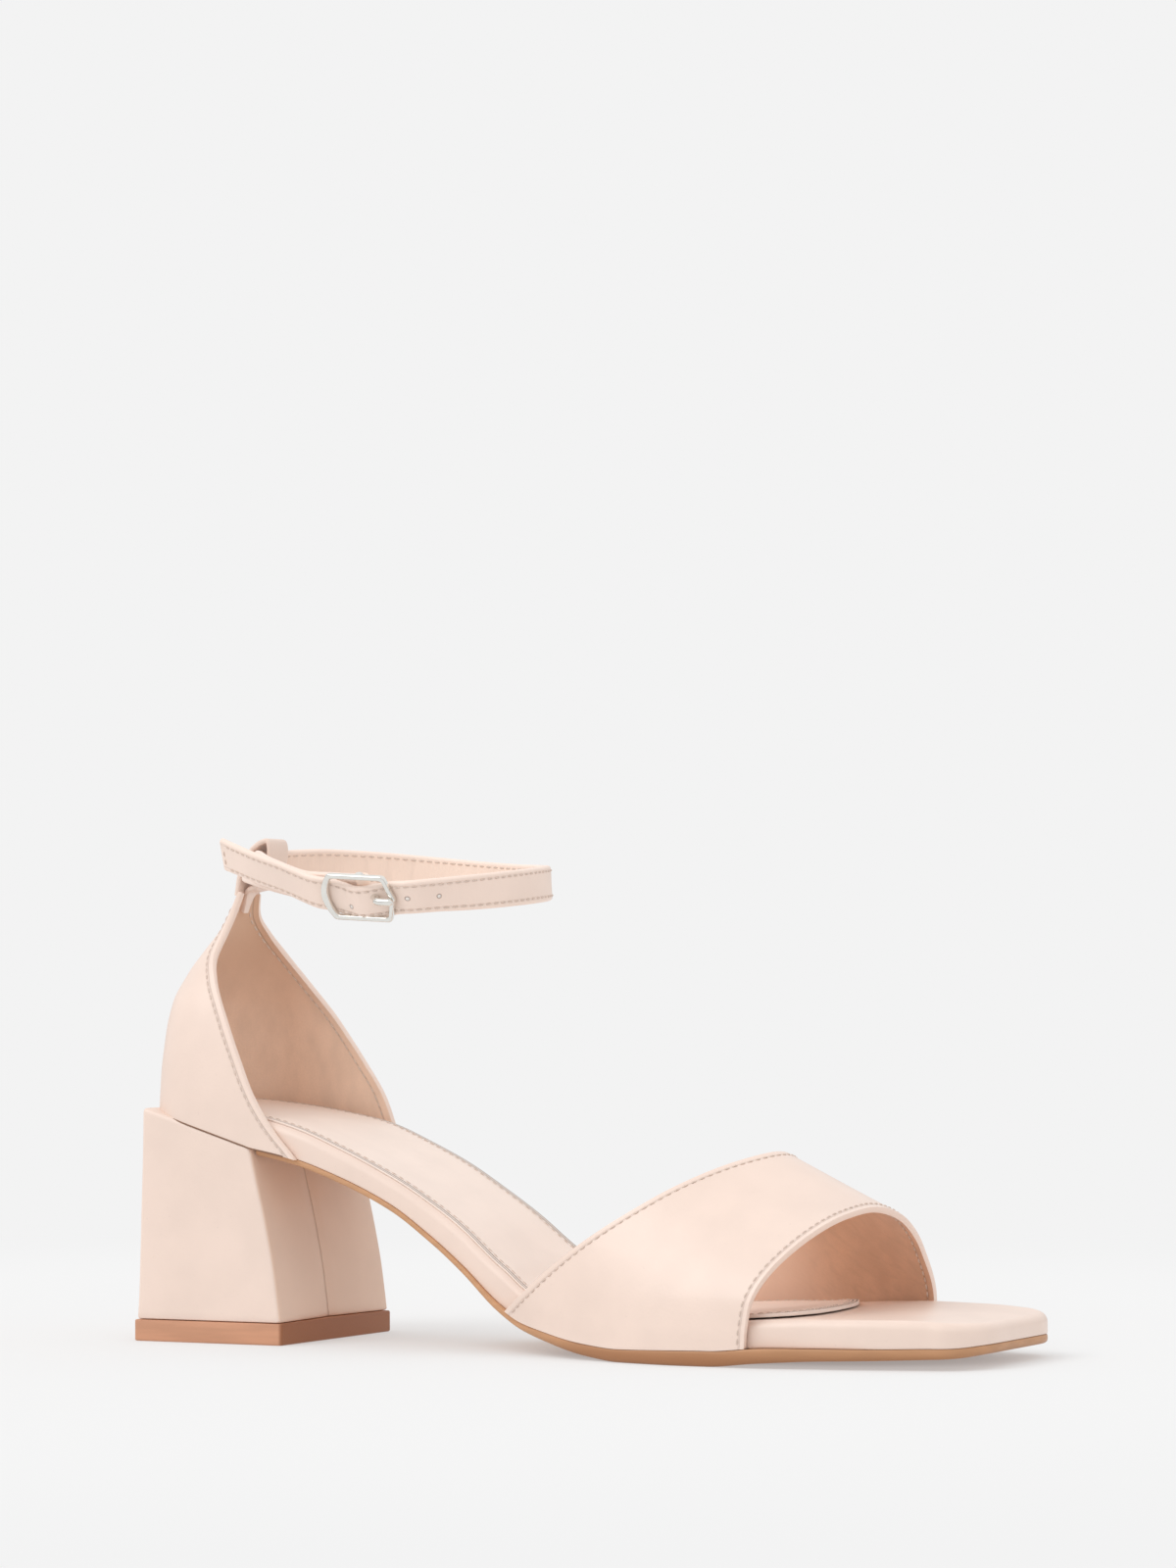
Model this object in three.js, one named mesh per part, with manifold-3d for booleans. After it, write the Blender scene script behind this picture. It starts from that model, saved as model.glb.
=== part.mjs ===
// Right block heel sandal with a toe band, a closed heel counter and a buckled ankle strap.
// Millimetres. +X runs to the toe, +Y to the medial side, +Z up. Until the last lines x = 0 is the heel block's back.
import * as THREE from "three";
import { mergeVertices } from "three/addons/utils/BufferGeometryUtils.js";
import Module from "manifold-3d";

const wasm = await Module();
wasm.setup();

// Driving dimensions of the sole and heel
const SOLE_LENGTH = 239; // heel block's back to the toe edge
const BALL_WIDTH = 80; // outsole across the ball
const SEAT_WIDTH = 54.8; // counter across the heel seat, outside
const HEEL_HEIGHT = 61.2; // floor to the block's top back edge
const HEEL_BASE_LENGTH = 44.4; // block along the floor
const HEEL_WIDTH = 55; // block across
const HEEL_FALL = 0.31; // drop of the block's top for each millimetre forward
const HEEL_EDGE = 1.1; // rounding of the block's edges
const HEEL_WRAP_DEPTH = 1.3; // hollow of the breast between its two edges
const TIP_THICKNESS = 5.6;
const TIP_LIP = 0.4; // the tip stands out round the block's base
const OUTSOLE_THICKNESS = 3; // at the ball
const OUTSOLE_EDGE = 1.5; // rounding of the outsole's lower edge
const FOOTBED_THICKNESS = 8; // at the waist, measured upright
const FOOTBED_EDGE = 2.6; // rounding of the footbed's upper edge
const TOE_CORNER = 11; // depth of the square toe's corners
const TOE_ROUND = 17; // their reach across
const SOCK_THICKNESS = 1;
const SOCK_MARGIN = 3.1; // footbed edge to the sock's edge
const GAP = 0.3; // clearance between neighbouring pieces
const SEAT_SINK = 0.6; // depth of the seat below the block's rim
const SEAT_TUCK = 3.4; // the footbed's lower part is this much narrower where it sinks into the block

// Driving dimensions of the upper
const COUNTER_HEIGHT = 56.8; // block's back edge to the counter's top
const COUNTER_WALL = 1.8;
const BAND_HEIGHT = 50.4; // floor to the band's back edge on top
const BAND_WALL = 1.6;
const LOOP_WIDTH = 9.4;
const LOOP_WALL = 1.2;
const LOOP_PLAY = 0.8; // strap's face to the loop's leg
const LOOP_BOW = 1.4; // the curved strap reaches this much further forward inside the loop
const LOOP_LEAN = 31; // degrees that the loop and the strap in it lean forward
const LOOP_TAIL = 6; // the loop's inner leg reaches this far below the counter's top
const STRAP_WIDTH = 9.2;
const STRAP_THICKNESS = 1.8;
const ANKLE_LENGTH = 84.5; // strap's oval from the loop to its front
const ANKLE_WIDTH = 60; // strap's oval across
const STRAP_RISE = 6.7; // counter's top to the strap's middle line at the loop
const ANKLE_HEIGHT = HEEL_HEIGHT + COUNTER_HEIGHT + STRAP_RISE;
const ANKLE_DROP = 10; // fall of the strap from the loop to the buckle
const ANKLE_BACK = 21; // strap's middle line at the loop

// Driving dimensions of the buckle
const BUCKLE_LENGTH = 21.6;
const BUCKLE_HEIGHT = 13.6;
const BUCKLE_WIRE = 1.35; // width of the frame's bars
const BUCKLE_BACK_BAR = 0.6; // its round bar is this much wider
const BUCKLE_DEPTH = 1.5; // thickness of the frame
const BAR_RADIUS = 0.7;
const PRONG_RADIUS = 0.75;
const FOLD_WALL = 0.8; // leather folded round the bar

// Middle of the buckle's bar in the strap's own shares, its fall toward the toe and its lean in degrees
const BUCKLE_PLACE = { along: 0.619, across: -0.545, drop: 0.83, fall: 3.7, lean: 33 };

// Sole in side view: lengths along as shares of SOLE_LENGTH, heights as shares of HEEL_HEIGHT, thicknesses as
// shares of OUTSOLE_THICKNESS and FOOTBED_THICKNESS. drop is how far the footbed's lateral edge lies below its medial
// one, as a share of FOOTBED_THICKNESS.
const SOLE_SIDE = [
  { at: -0.01, tread: 0.868, outsole: 0.45, footbed: 1.03, drop: 0 },
  { at: 0.084, tread: 0.838, outsole: 0.45, footbed: 0.95, drop: 0 },
  { at: 0.15, tread: 0.796, outsole: 0.45, footbed: 0.98, drop: 0 },
  { at: 0.197, tread: 0.758, outsole: 0.45, footbed: 0.99, drop: 0.08 },
  { at: 0.25, tread: 0.685, outsole: 0.46, footbed: 1.01, drop: 0.2 },
  { at: 0.315, tread: 0.566, outsole: 0.48, footbed: 1.1, drop: 0.33 },
  { at: 0.36, tread: 0.447, outsole: 0.5, footbed: 1.24, drop: 0.36 },
  { at: 0.405, tread: 0.316, outsole: 0.52, footbed: 1.32, drop: 0.34 },
  { at: 0.45, tread: 0.176, outsole: 0.55, footbed: 1.29, drop: 0.25 },
  { at: 0.485, tread: 0.1, outsole: 0.6, footbed: 1.06, drop: 0.16 },
  { at: 0.525, tread: 0.056, outsole: 0.72, footbed: 0.88, drop: 0.08 },
  { at: 0.575, tread: 0.016, outsole: 0.9, footbed: 0.88, drop: 0 },
  { at: 0.62, tread: 0, outsole: 0.97, footbed: 0.87, drop: 0 },
  { at: 0.725, tread: 0, outsole: 1.16, footbed: 0.86, drop: 0 },
  { at: 0.78, tread: 0.018, outsole: 1.1, footbed: 0.83, drop: 0 },
  { at: 0.84, tread: 0.0305, outsole: 0.91, footbed: 0.87, drop: 0 },
  { at: 0.9, tread: 0.036, outsole: 0.83, footbed: 0.86, drop: 0 },
  { at: 0.94, tread: 0.041, outsole: 0.8, footbed: 0.82, drop: 0 },
  { at: 0.975, tread: 0.047, outsole: 0.72, footbed: 0.74, drop: 0 },
  { at: 1, tread: 0.062, outsole: 0.62, footbed: 0.62, drop: 0 },
];

// Footbed from above: lengths as shares of SOLE_LENGTH, distances from the middle line as shares of BALL_WIDTH. lip is how
// far the outsole stands out past the footbed, as a share of the band's standing out.
const SOLE_PLAN = [
  { at: 0.075, lateral: 0.3165, medial: 0.3165, lip: 0.1 },
  { at: 0.13, lateral: 0.3165, medial: 0.3165, lip: 0.1 },
  { at: 0.2, lateral: 0.317, medial: 0.308, lip: 0.12 },
  { at: 0.28, lateral: 0.3, medial: 0.268, lip: 0.15 },
  { at: 0.36, lateral: 0.292, medial: 0.24, lip: 0.25 },
  { at: 0.46, lateral: 0.33, medial: 0.268, lip: 0.7 },
  { at: 0.585, lateral: 0.437, medial: 0.365, lip: 1.1 },
  { at: 0.69, lateral: 0.498, medial: 0.452, lip: 1.12 },
  { at: 0.765, lateral: 0.497, medial: 0.47, lip: 1.1 },
  { at: 0.85, lateral: 0.47, medial: 0.441, lip: 0.6 },
  { at: 0.91, lateral: 0.435, medial: 0.396, lip: 0.1 },
  { at: 0.9625, lateral: 0.393, medial: 0.33, lip: -0.1 },
];

// Front end of the sock from above, in the same shares.
const SOCK_FRONT = [
  { lateralAt: 0.745, lateral: 0.458, medialAt: 0.712, medial: 0.41 },
  { lateralAt: 0.782, lateral: 0.44, medialAt: 0.742, medial: 0.397 },
  { lateralAt: 0.803, lateral: 0.385, medialAt: 0.76, medial: 0.352 },
  { lateralAt: 0.815, lateral: 0.28, medialAt: 0.778, medial: 0.26 },
  { lateralAt: 0.815, lateral: 0.15, medialAt: 0.795, medial: 0.14 },
  { lateralAt: 0.81, lateral: 0.04, medialAt: 0.805, medial: 0.04 },
];

// Block from the side: height as a share of HEEL_HEIGHT, back and breast as shares of HEEL_BASE_LENGTH.
const HEEL_SIDE = [
  { at: 0, back: -0.012, breast: 0.996 },
  { at: 0.1, back: -0.006, breast: 0.988 },
  { at: 0.2, back: 0.003, breast: 0.972 },
  { at: 0.32, back: 0.009, breast: 0.949 },
  { at: 0.43, back: 0.014, breast: 0.92 },
  { at: 0.56, back: 0.019, breast: 0.88 },
  { at: 0.69, back: 0.025, breast: 0.832 },
  { at: 0.82, back: 0.03, breast: 0.789 },
  { at: 1, back: 0.034, breast: 0.763 },
];

// Counter level by level. rise is the share of COUNTER_HEIGHT, half the half width as a share of SEAT_WIDTH, back
// the back's place, round the depth of its curve, lateral and medial the places of the two front edges, all as
// shares of SEAT_WIDTH. square is the curve's exponent, 2 for an ellipse.
const COUNTER_LEVELS = [
  { rise: 0, half: 0.5, back: -0.016, round: 0.365, lateral: 0.88, medial: 0.9, square: 3 },
  { rise: 0.085, half: 0.499, back: -0.037, round: 0.365, lateral: 0.755, medial: 0.86, square: 2.5 },
  { rise: 0.2, half: 0.49, back: -0.041, round: 0.365, lateral: 0.64, medial: 0.805, square: 2.35 },
  { rise: 0.34, half: 0.465, back: -0.041, round: 0.37, lateral: 0.54, medial: 0.695, square: 2.2 },
  { rise: 0.49, half: 0.418, back: -0.022, round: 0.35, lateral: 0.436, medial: 0.572, square: 2.1 },
  { rise: 0.63, half: 0.342, back: 0.04, round: 0.3, lateral: 0.336, medial: 0.452, square: 2 },
  { rise: 0.74, half: 0.27, back: 0.12, round: 0.24, lateral: 0.284, medial: 0.37, square: 2 },
  { rise: 0.83, half: 0.194, back: 0.192, round: 0.16, lateral: 0.281, medial: 0.322, square: 2 },
  { rise: 0.91, half: 0.134, back: 0.238, round: 0.09, lateral: 0.293, medial: 0.297, square: 2 },
  { rise: 1, half: 0.103, back: 0.282, round: 0.06, lateral: 0.315, medial: 0.315, square: 2 },
];

// Band from its lateral foot over the instep to its medial foot: lengths as shares of SOLE_LENGTH, sides as
// shares of BALL_WIDTH, heights as shares of BAND_HEIGHT.
const BAND_ARCH = [
  { way: 0, backAt: 0.464, back: -0.352, backUp: 0.236, frontAt: 0.7615, front: -0.512, frontUp: 0.1 },
  { way: 0.07, backAt: 0.492, back: -0.392, backUp: 0.325, frontAt: 0.7645, front: -0.521, frontUp: 0.2 },
  { way: 0.15, backAt: 0.53, back: -0.416, backUp: 0.455, frontAt: 0.77, front: -0.512, frontUp: 0.335 },
  { way: 0.23, backAt: 0.57, back: -0.412, backUp: 0.585, frontAt: 0.783, front: -0.462, frontUp: 0.46 },
  { way: 0.31, backAt: 0.612, back: -0.37, backUp: 0.715, frontAt: 0.801, front: -0.378, frontUp: 0.575 },
  { way: 0.39, backAt: 0.655, back: -0.285, backUp: 0.845, frontAt: 0.818, front: -0.27, frontUp: 0.665 },
  { way: 0.46, backAt: 0.695, back: -0.17, backUp: 0.945, frontAt: 0.83, front: -0.15, frontUp: 0.715 },
  { way: 0.53, backAt: 0.724, back: 0, backUp: 1, frontAt: 0.838, front: 0, frontUp: 0.735 },
  { way: 0.61, backAt: 0.715, back: 0.17, backUp: 0.955, frontAt: 0.843, front: 0.15, frontUp: 0.69 },
  { way: 0.69, backAt: 0.685, back: 0.285, backUp: 0.85, frontAt: 0.844, front: 0.265, frontUp: 0.595 },
  { way: 0.77, backAt: 0.64, back: 0.355, backUp: 0.71, frontAt: 0.842, front: 0.355, frontUp: 0.475 },
  { way: 0.85, backAt: 0.59, back: 0.375, backUp: 0.55, frontAt: 0.839, front: 0.435, frontUp: 0.345 },
  { way: 0.93, backAt: 0.54, back: 0.36, backUp: 0.38, frontAt: 0.836, front: 0.472, frontUp: 0.23 },
  { way: 1, backAt: 0.498, back: 0.308, backUp: 0.17, frontAt: 0.833, front: 0.474, frontUp: 0.12 },
];

// Strap's middle line: along as a share of ANKLE_LENGTH from the loop, across as a share of ANKLE_WIDTH, drop as a
// share of ANKLE_DROP, lean in degrees with the upper edge outward.
const STRAP_FREE_END = [
  { along: 0.044, across: -0.4, drop: -0.3, lean: 36 },
  { along: 0.125, across: -0.445, drop: -0.09, lean: 36 },
  { along: 0.2, across: -0.482, drop: 0.12, lean: 36 },
  { along: 0.324, across: -0.53, drop: 0.44, lean: 35 },
];
const STRAP_ROUND = [
  { along: 0.862, across: -0.485, drop: 0.93, lean: 30 },
  { along: 0.935, across: -0.37, drop: 0.86, lean: 24 },
  { along: 0.985, across: -0.2, drop: 0.76, lean: 17 },
  { along: 1, across: 0, drop: 0.65, lean: 12 },
  { along: 0.968, across: 0.175, drop: 0.55, lean: 10 },
  { along: 0.882, across: 0.325, drop: 0.49, lean: 9 },
  { along: 0.745, across: 0.425, drop: 0.44, lean: 8 },
  { along: 0.585, across: 0.465, drop: 0.37, lean: 7 },
  { along: 0.405, across: 0.452, drop: 0.27, lean: 2 },
  { along: 0.245, across: 0.38, drop: 0.17, lean: -8 },
  { along: 0.113, across: 0.262, drop: 0.08, lean: -20 },
  { along: 0.02, across: 0.115, drop: 0.01, lean: -31 },
  { along: 0, across: 0, drop: 0, lean: -31 },
  { along: 0.02, across: -0.115, drop: 0.01, lean: -29 },
  { along: 0.1, across: -0.25, drop: 0.1, lean: -12 },
  { along: 0.195, across: -0.36, drop: 0.27, lean: 12 },
  { along: 0.3, across: -0.447, drop: 0.46, lean: 26 },
];

// A smooth line through a table's column. It never passes beyond its rows, so flat stretches stay flat.
function line(rows, column, against = "at") {
  const x = rows.map((row) => row[against]);
  const y = rows.map((row) => row[column]);
  const rise = x.slice(1).map((value, i) => (y[i + 1] - y[i]) / (value - x[i]));
  const slope = x.map((_, i) => {
    if (i === 0) return rise[0];
    if (i === x.length - 1) return rise[i - 1];
    const product = rise[i - 1] * rise[i];
    return product > 0 ? (2 * product) / (rise[i - 1] + rise[i]) : 0;
  });
  return (value) => {
    let i = 0;
    while (i < x.length - 2 && value > x[i + 1]) i += 1;
    const span = x[i + 1] - x[i];
    const t = THREE.MathUtils.clamp((value - x[i]) / span, 0, 1);
    const bend = (1 - t) * slope[i] - t * slope[i + 1] + (2 * t - 1) * rise[i];
    return y[i] + (y[i + 1] - y[i]) * t + t * (1 - t) * bend * span;
  };
}

// A smooth curve through a table's column that may swing past its rows, for round arches.
function swing(rows, column, against) {
  const x = rows.map((row) => row[against]);
  const y = rows.map((row) => row[column]);
  const slope = x.map((_, i) => {
    const a = Math.max(i - 1, 0);
    const b = Math.min(i + 1, x.length - 1);
    return (y[b] - y[a]) / (x[b] - x[a]);
  });
  return (value) => {
    let i = 0;
    while (i < x.length - 2 && value > x[i + 1]) i += 1;
    const span = x[i + 1] - x[i];
    const t = (value - x[i]) / span;
    const rise = (y[i + 1] - y[i]) / span;
    const bend = (1 - t) * (slope[i] - rise) - t * (slope[i + 1] - rise);
    return y[i] + rise * span * t + t * (1 - t) * bend * span;
  };
}

// Geometry from points and faces, turned outward.
function surface(points, faces) {
  const corners = [...faces];
  let volume = 0;
  for (let i = 0; i < corners.length; i += 3) {
    const [a, b, c] = [points[corners[i]], points[corners[i + 1]], points[corners[i + 2]]];
    volume += a.dot(new THREE.Vector3().crossVectors(b, c));
  }
  if (volume < 0) {
    corners.reverse();
  }
  return new THREE.BufferGeometry().setFromPoints(points).setIndex(corners);
}

function quad(faces, a, b, c, d) {
  faces.push(a, b, c, a, c, d);
}

// Manifold solid of a geometry, and the geometry of a manifold solid.
function solid(geometry) {
  const bare = geometry.clone();
  bare.deleteAttribute("normal");
  bare.deleteAttribute("uv");
  const merged = mergeVertices(bare, 1e-4);
  return new wasm.Manifold(
    new wasm.Mesh({
      numProp: 3,
      vertProperties: merged.attributes.position.array,
      triVerts: new Uint32Array(merged.index.array),
    }),
  );
}

function geometryOf(made) {
  const mesh = made.getMesh();
  const geometry = new THREE.BufferGeometry();
  geometry.setAttribute("position", new THREE.BufferAttribute(mesh.vertProperties, 3));
  geometry.setIndex(new THREE.BufferAttribute(mesh.triVerts, 1));
  return geometry;
}

// Outward normals along one side of an outline. turn is 1 on the lateral side and -1 on the medial side.
function withNormals(points, turn) {
  return points.map((point, i) => {
    const before = points[Math.max(i - 1, 0)];
    const after = points[Math.min(i + 1, points.length - 1)];
    const length = Math.hypot(after.x - before.x, after.y - before.y);
    const nx = (turn * (after.y - before.y)) / length;
    const ny = (-turn * (after.x - before.x)) / length;
    return { ...point, nx, ny };
  });
}

// Flat piece between two height functions over a paired outline. Each step of its side has an inset, a share of
// the height and a lift; inset and lift may follow the length.
function plate(lateral, medial, steps, bottom, top) {
  const points = [];
  const sides = [withNormals(lateral, 1), withNormals(medial, -1)];
  for (const side of sides) {
    for (const edge of side) {
      for (const step of steps) {
        const inset = typeof step.inset === "function" ? step.inset(edge.x) : step.inset;
        const lift = typeof step.lift === "function" ? step.lift(edge.x) : step.lift;
        const x = edge.x - edge.nx * inset;
        const y = edge.y - edge.ny * inset;
        const z = bottom(x, y) + (top(x, y) - bottom(x, y)) * step.share + lift;
        points.push(new THREE.Vector3(x, y, z));
      }
    }
  }
  const faces = [];
  const count = lateral.length;
  const high = steps.length;
  const at = (side, i, k) => (side * count + i) * high + k;
  for (let i = 0; i < count - 1; i += 1) {
    for (let k = 0; k < high - 1; k += 1) {
      quad(faces, at(0, i, k), at(0, i + 1, k), at(0, i + 1, k + 1), at(0, i, k + 1));
      quad(faces, at(1, i, k), at(1, i, k + 1), at(1, i + 1, k + 1), at(1, i + 1, k));
    }
    quad(faces, at(0, i, high - 1), at(0, i + 1, high - 1), at(1, i + 1, high - 1), at(1, i, high - 1));
    quad(faces, at(0, i, 0), at(1, i, 0), at(1, i + 1, 0), at(0, i + 1, 0));
  }
  for (let k = 0; k < high - 1; k += 1) {
    quad(faces, at(0, count - 1, k), at(1, count - 1, k), at(1, count - 1, k + 1), at(0, count - 1, k + 1));
    quad(faces, at(0, 0, k), at(0, 0, k + 1), at(1, 0, k + 1), at(1, 0, k));
  }
  return surface(points, faces);
}

// Steps of a side's rounded upper edge, whose radius follows the length.
function roundedTop(radius, turns) {
  const steps = [];
  for (let i = 0; i <= turns; i += 1) {
    const angle = (i / turns) * (Math.PI / 2);
    const inset = (x) => radius(x) * (1 - Math.cos(angle));
    const lift = (x) => -radius(x) * (1 - Math.sin(angle));
    steps.push({ inset, share: 1, lift });
  }
  return steps;
}

// Shell of one wall over a surface of two parameters. roll rounds the four edges outward by its amounts.
function shell(point, columns, rows, wall, roll) {
  const outer = [];
  const inner = [];
  const probe = 1e-3;
  for (let i = 0; i <= columns; i += 1) {
    for (let j = 0; j <= rows; j += 1) {
      const u = i / columns;
      const v = j / rows;
      const [u0, u1] = [Math.max(u - probe, 0), Math.min(u + probe, 1)];
      const [v0, v1] = [Math.max(v - probe, 0), Math.min(v + probe, 1)];
      const alongU = point(u1, v).sub(point(u0, v));
      const alongV = point(u, v1).sub(point(u, v0));
      const inward = new THREE.Vector3().crossVectors(alongU, alongV).normalize();
      outer.push(point(u, v));
      inner.push(point(u, v).addScaledVector(inward, wall));
    }
  }
  const high = rows + 1;
  const at = (i, j) => i * high + j;
  const points = [...outer, ...inner];
  const shift = outer.length;
  const faces = [];
  for (let i = 0; i < columns; i += 1) {
    for (let j = 0; j < rows; j += 1) {
      quad(faces, at(i, j), at(i, j + 1), at(i + 1, j + 1), at(i + 1, j));
      quad(faces, shift + at(i, j), shift + at(i + 1, j), shift + at(i + 1, j + 1), shift + at(i, j + 1));
    }
  }
  const rim = [];
  for (let i = 0; i < columns; i += 1) rim.push([i, 0, i, 1, roll.first]);
  for (let j = 0; j < rows; j += 1) rim.push([columns, j, columns - 1, j, roll.end]);
  for (let i = columns; i > 0; i -= 1) rim.push([i, rows, i, rows - 1, roll.last]);
  for (let j = rows; j > 0; j -= 1) rim.push([0, j, 1, j, roll.start]);
  const middle = points.length;
  for (const [i, j, insideI, insideJ, amount] of rim) {
    const edge = outer[at(i, j)].clone().add(inner[at(i, j)]).multiplyScalar(0.5);
    const away = outer[at(i, j)].clone().sub(outer[at(insideI, insideJ)]).normalize();
    points.push(edge.addScaledVector(away, amount));
  }
  rim.forEach(([i, j], n) => {
    const next = (n + 1) % rim.length;
    const [ni, nj] = rim[next];
    quad(faces, at(i, j), at(ni, nj), middle + next, middle + n);
    quad(faces, middle + n, middle + next, shift + at(ni, nj), shift + at(i, j));
  });
  return surface(points, faces);
}

// Loft of one flat section along frames, each with a place, a direction across and a direction out.
function ribbon(frames, section) {
  const points = [];
  for (const frame of frames) {
    for (const [across, out] of section) {
      points.push(frame.place.clone().addScaledVector(frame.across, across).addScaledVector(frame.out, out));
    }
  }
  const faces = [];
  const sides = section.length;
  for (let i = 0; i < frames.length - 1; i += 1) {
    for (let k = 0; k < sides; k += 1) {
      const next = (k + 1) % sides;
      quad(faces, i * sides + k, i * sides + next, (i + 1) * sides + next, (i + 1) * sides + k);
    }
  }
  const last = (frames.length - 1) * sides;
  for (let k = 1; k < sides - 1; k += 1) {
    faces.push(0, k + 1, k, last, last + k, last + k + 1);
  }
  return surface(points, faces);
}

// Heights of the sole, by the length along it
const sideLines = {
  tread: line(SOLE_SIDE, "tread"),
  outsole: line(SOLE_SIDE, "outsole"),
  footbed: line(SOLE_SIDE, "footbed"),
  drop: line(SOLE_SIDE, "drop"),
};
const planLines = {
  lateral: line(SOLE_PLAN, "lateral"),
  medial: line(SOLE_PLAN, "medial"),
  lip: line(SOLE_PLAN, "lip"),
};
const treadHeight = (x) => HEEL_HEIGHT * sideLines.tread(x / SOLE_LENGTH);
const outsoleTop = (x) => treadHeight(x) + OUTSOLE_THICKNESS * sideLines.outsole(x / SOLE_LENGTH);
const footbedBottom = (x) => outsoleTop(x) + GAP;
const edgeTop = (x) => footbedBottom(x) + FOOTBED_THICKNESS * sideLines.footbed(x / SOLE_LENGTH);

// Top of the footbed. It slopes down from its medial edge to its lateral one.
function footbedTop(x, y) {
  const [medial, lateral] = [planLines.medial(x / SOLE_LENGTH), planLines.lateral(x / SOLE_LENGTH)];
  const share = THREE.MathUtils.clamp((medial - y / BALL_WIDTH) / (medial + lateral), 0, 1);
  return edgeTop(x) - FOOTBED_THICKNESS * sideLines.drop(x / SOLE_LENGTH) * share;
}

const heelRim = (x) => HEEL_HEIGHT - HEEL_FALL * (x - HEEL_BASE_LENGTH * HEEL_SIDE.at(-1).back);

// Place on the round back of the seat. turn runs from 0 at the back to 1 where the straight sides begin.
function seatPoint(turn, level, inset) {
  const angle = (turn * Math.PI) / 2;
  const power = 2 / level.square;
  const half = SEAT_WIDTH * level.half - inset;
  const round = SEAT_WIDTH * level.round - inset;
  const back = SEAT_WIDTH * level.back + inset;
  const x = back + round * (1 - Math.cos(angle) ** power);
  return { x, y: half * Math.sin(angle) ** power };
}

// Outline of the footbed, widened by an amount that may follow the length, from a starting length to the toe
function toeSide(side, turn, from, widen, count) {
  const points = [];
  const cornerStart = SOLE_LENGTH - TOE_CORNER;
  for (let i = 0; i < count; i += 1) {
    const x = from + ((cornerStart - from) * i) / count;
    points.push({ x, y: -turn * (BALL_WIDTH * planLines[side](x / SOLE_LENGTH) + widen(x)) });
  }
  const corner = BALL_WIDTH * planLines[side](cornerStart / SOLE_LENGTH) - TOE_ROUND;
  const turns = 6;
  for (let i = 0; i <= turns; i += 1) {
    const angle = (i / turns) * (Math.PI / 2);
    const x = cornerStart + (TOE_CORNER + widen(cornerStart)) * Math.sin(angle);
    points.push({ x, y: -turn * (corner + (TOE_ROUND + widen(cornerStart)) * Math.cos(angle)) });
  }
  return points;
}

function seatSide(turn, inset, steps) {
  const level = COUNTER_LEVELS[0];
  return steps.map((step) => {
    const { x, y } = seatPoint(step, level, inset);
    return { x, y: -turn * y };
  });
}

const SEAT_STEPS = [0.04, 0.11, 0.2, 0.3, 0.4, 0.5, 0.6, 0.72, 0.86, 1];
const BREAST_TOP = HEEL_BASE_LENGTH * HEEL_SIDE.at(-2).breast; // block's front edge under the footbed
const SEAT_INSET = COUNTER_WALL + GAP; // footbed's edge inside the counter's outside
const BAND_OUT = BAND_WALL + 1.7 * GAP; // band's outside past the footbed's edge
const seatEnd = seatPoint(1, COUNTER_LEVELS[0], SEAT_INSET).x;
const WAIST_STEP = 6; // from the seat's round end to the first point of the sole's side
const SIDE_STEPS = 24;
const TUCK_START = 6; // the tuck ends over this length before the breast
const TUCK_END = 1;

function footbedSide(side, turn) {
  const round = seatSide(turn, SEAT_INSET, SEAT_STEPS);
  return [...round, ...toeSide(side, turn, seatEnd + WAIST_STEP, () => 0, SIDE_STEPS)];
}

// The footbed's side has a shelf that rests on the block's rim, and its narrower lower part sinks into the block.
// Both run out at the breast.
const seatTuck = (x) => SEAT_TUCK * (1 - THREE.MathUtils.smoothstep(x, BREAST_TOP - TUCK_START, BREAST_TOP - TUCK_END));
const seatShelf = (x) => {
  const onRim = heelRim(x) - SEAT_SINK + GAP - footbedBottom(x);
  return Math.max(onRim * (1 - THREE.MathUtils.smoothstep(x, BREAST_TOP, BREAST_TOP + TUCK_END)), 2 * GAP);
};

const footbedEdge = (x) => {
  const least = edgeTop(x) - FOOTBED_THICKNESS * sideLines.drop(x / SOLE_LENGTH);
  return Math.min(FOOTBED_EDGE, least - footbedBottom(x) - seatShelf(x) - 2 * GAP);
};

function footbedGeometry() {
  const below = 0.6;
  const steps = [
    { inset: (x) => seatTuck(x) + below, share: 0, lift: 0 },
    { inset: seatTuck, share: 0, lift: (x) => Math.min(below, seatShelf(x) / 2) },
    { inset: seatTuck, share: 0, lift: seatShelf },
    { inset: 0, share: 0, lift: (x) => seatShelf(x) + 0.05 },
    ...roundedTop(footbedEdge, 4),
  ];
  return plate(footbedSide("lateral", 1), footbedSide("medial", -1), steps, footbedBottom, footbedTop);
}

function outsoleGeometry() {
  const from = BREAST_TOP + 2 * GAP;
  const steps = [
    { inset: OUTSOLE_EDGE, share: 0, lift: 0 },
    { inset: OUTSOLE_EDGE / 3, share: 0.15, lift: 0 },
    { inset: 0, share: 0.45, lift: 0 },
    { inset: 0, share: 0.9, lift: 0 },
    { inset: OUTSOLE_EDGE / 6, share: 1, lift: 0 },
  ];
  const widen = (x) => BAND_OUT * planLines.lip(x / SOLE_LENGTH);
  const lateral = toeSide("lateral", 1, from, widen, 28);
  const medial = toeSide("medial", -1, from, widen, 28);
  return plate(lateral, medial, steps, treadHeight, outsoleTop);
}

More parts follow.
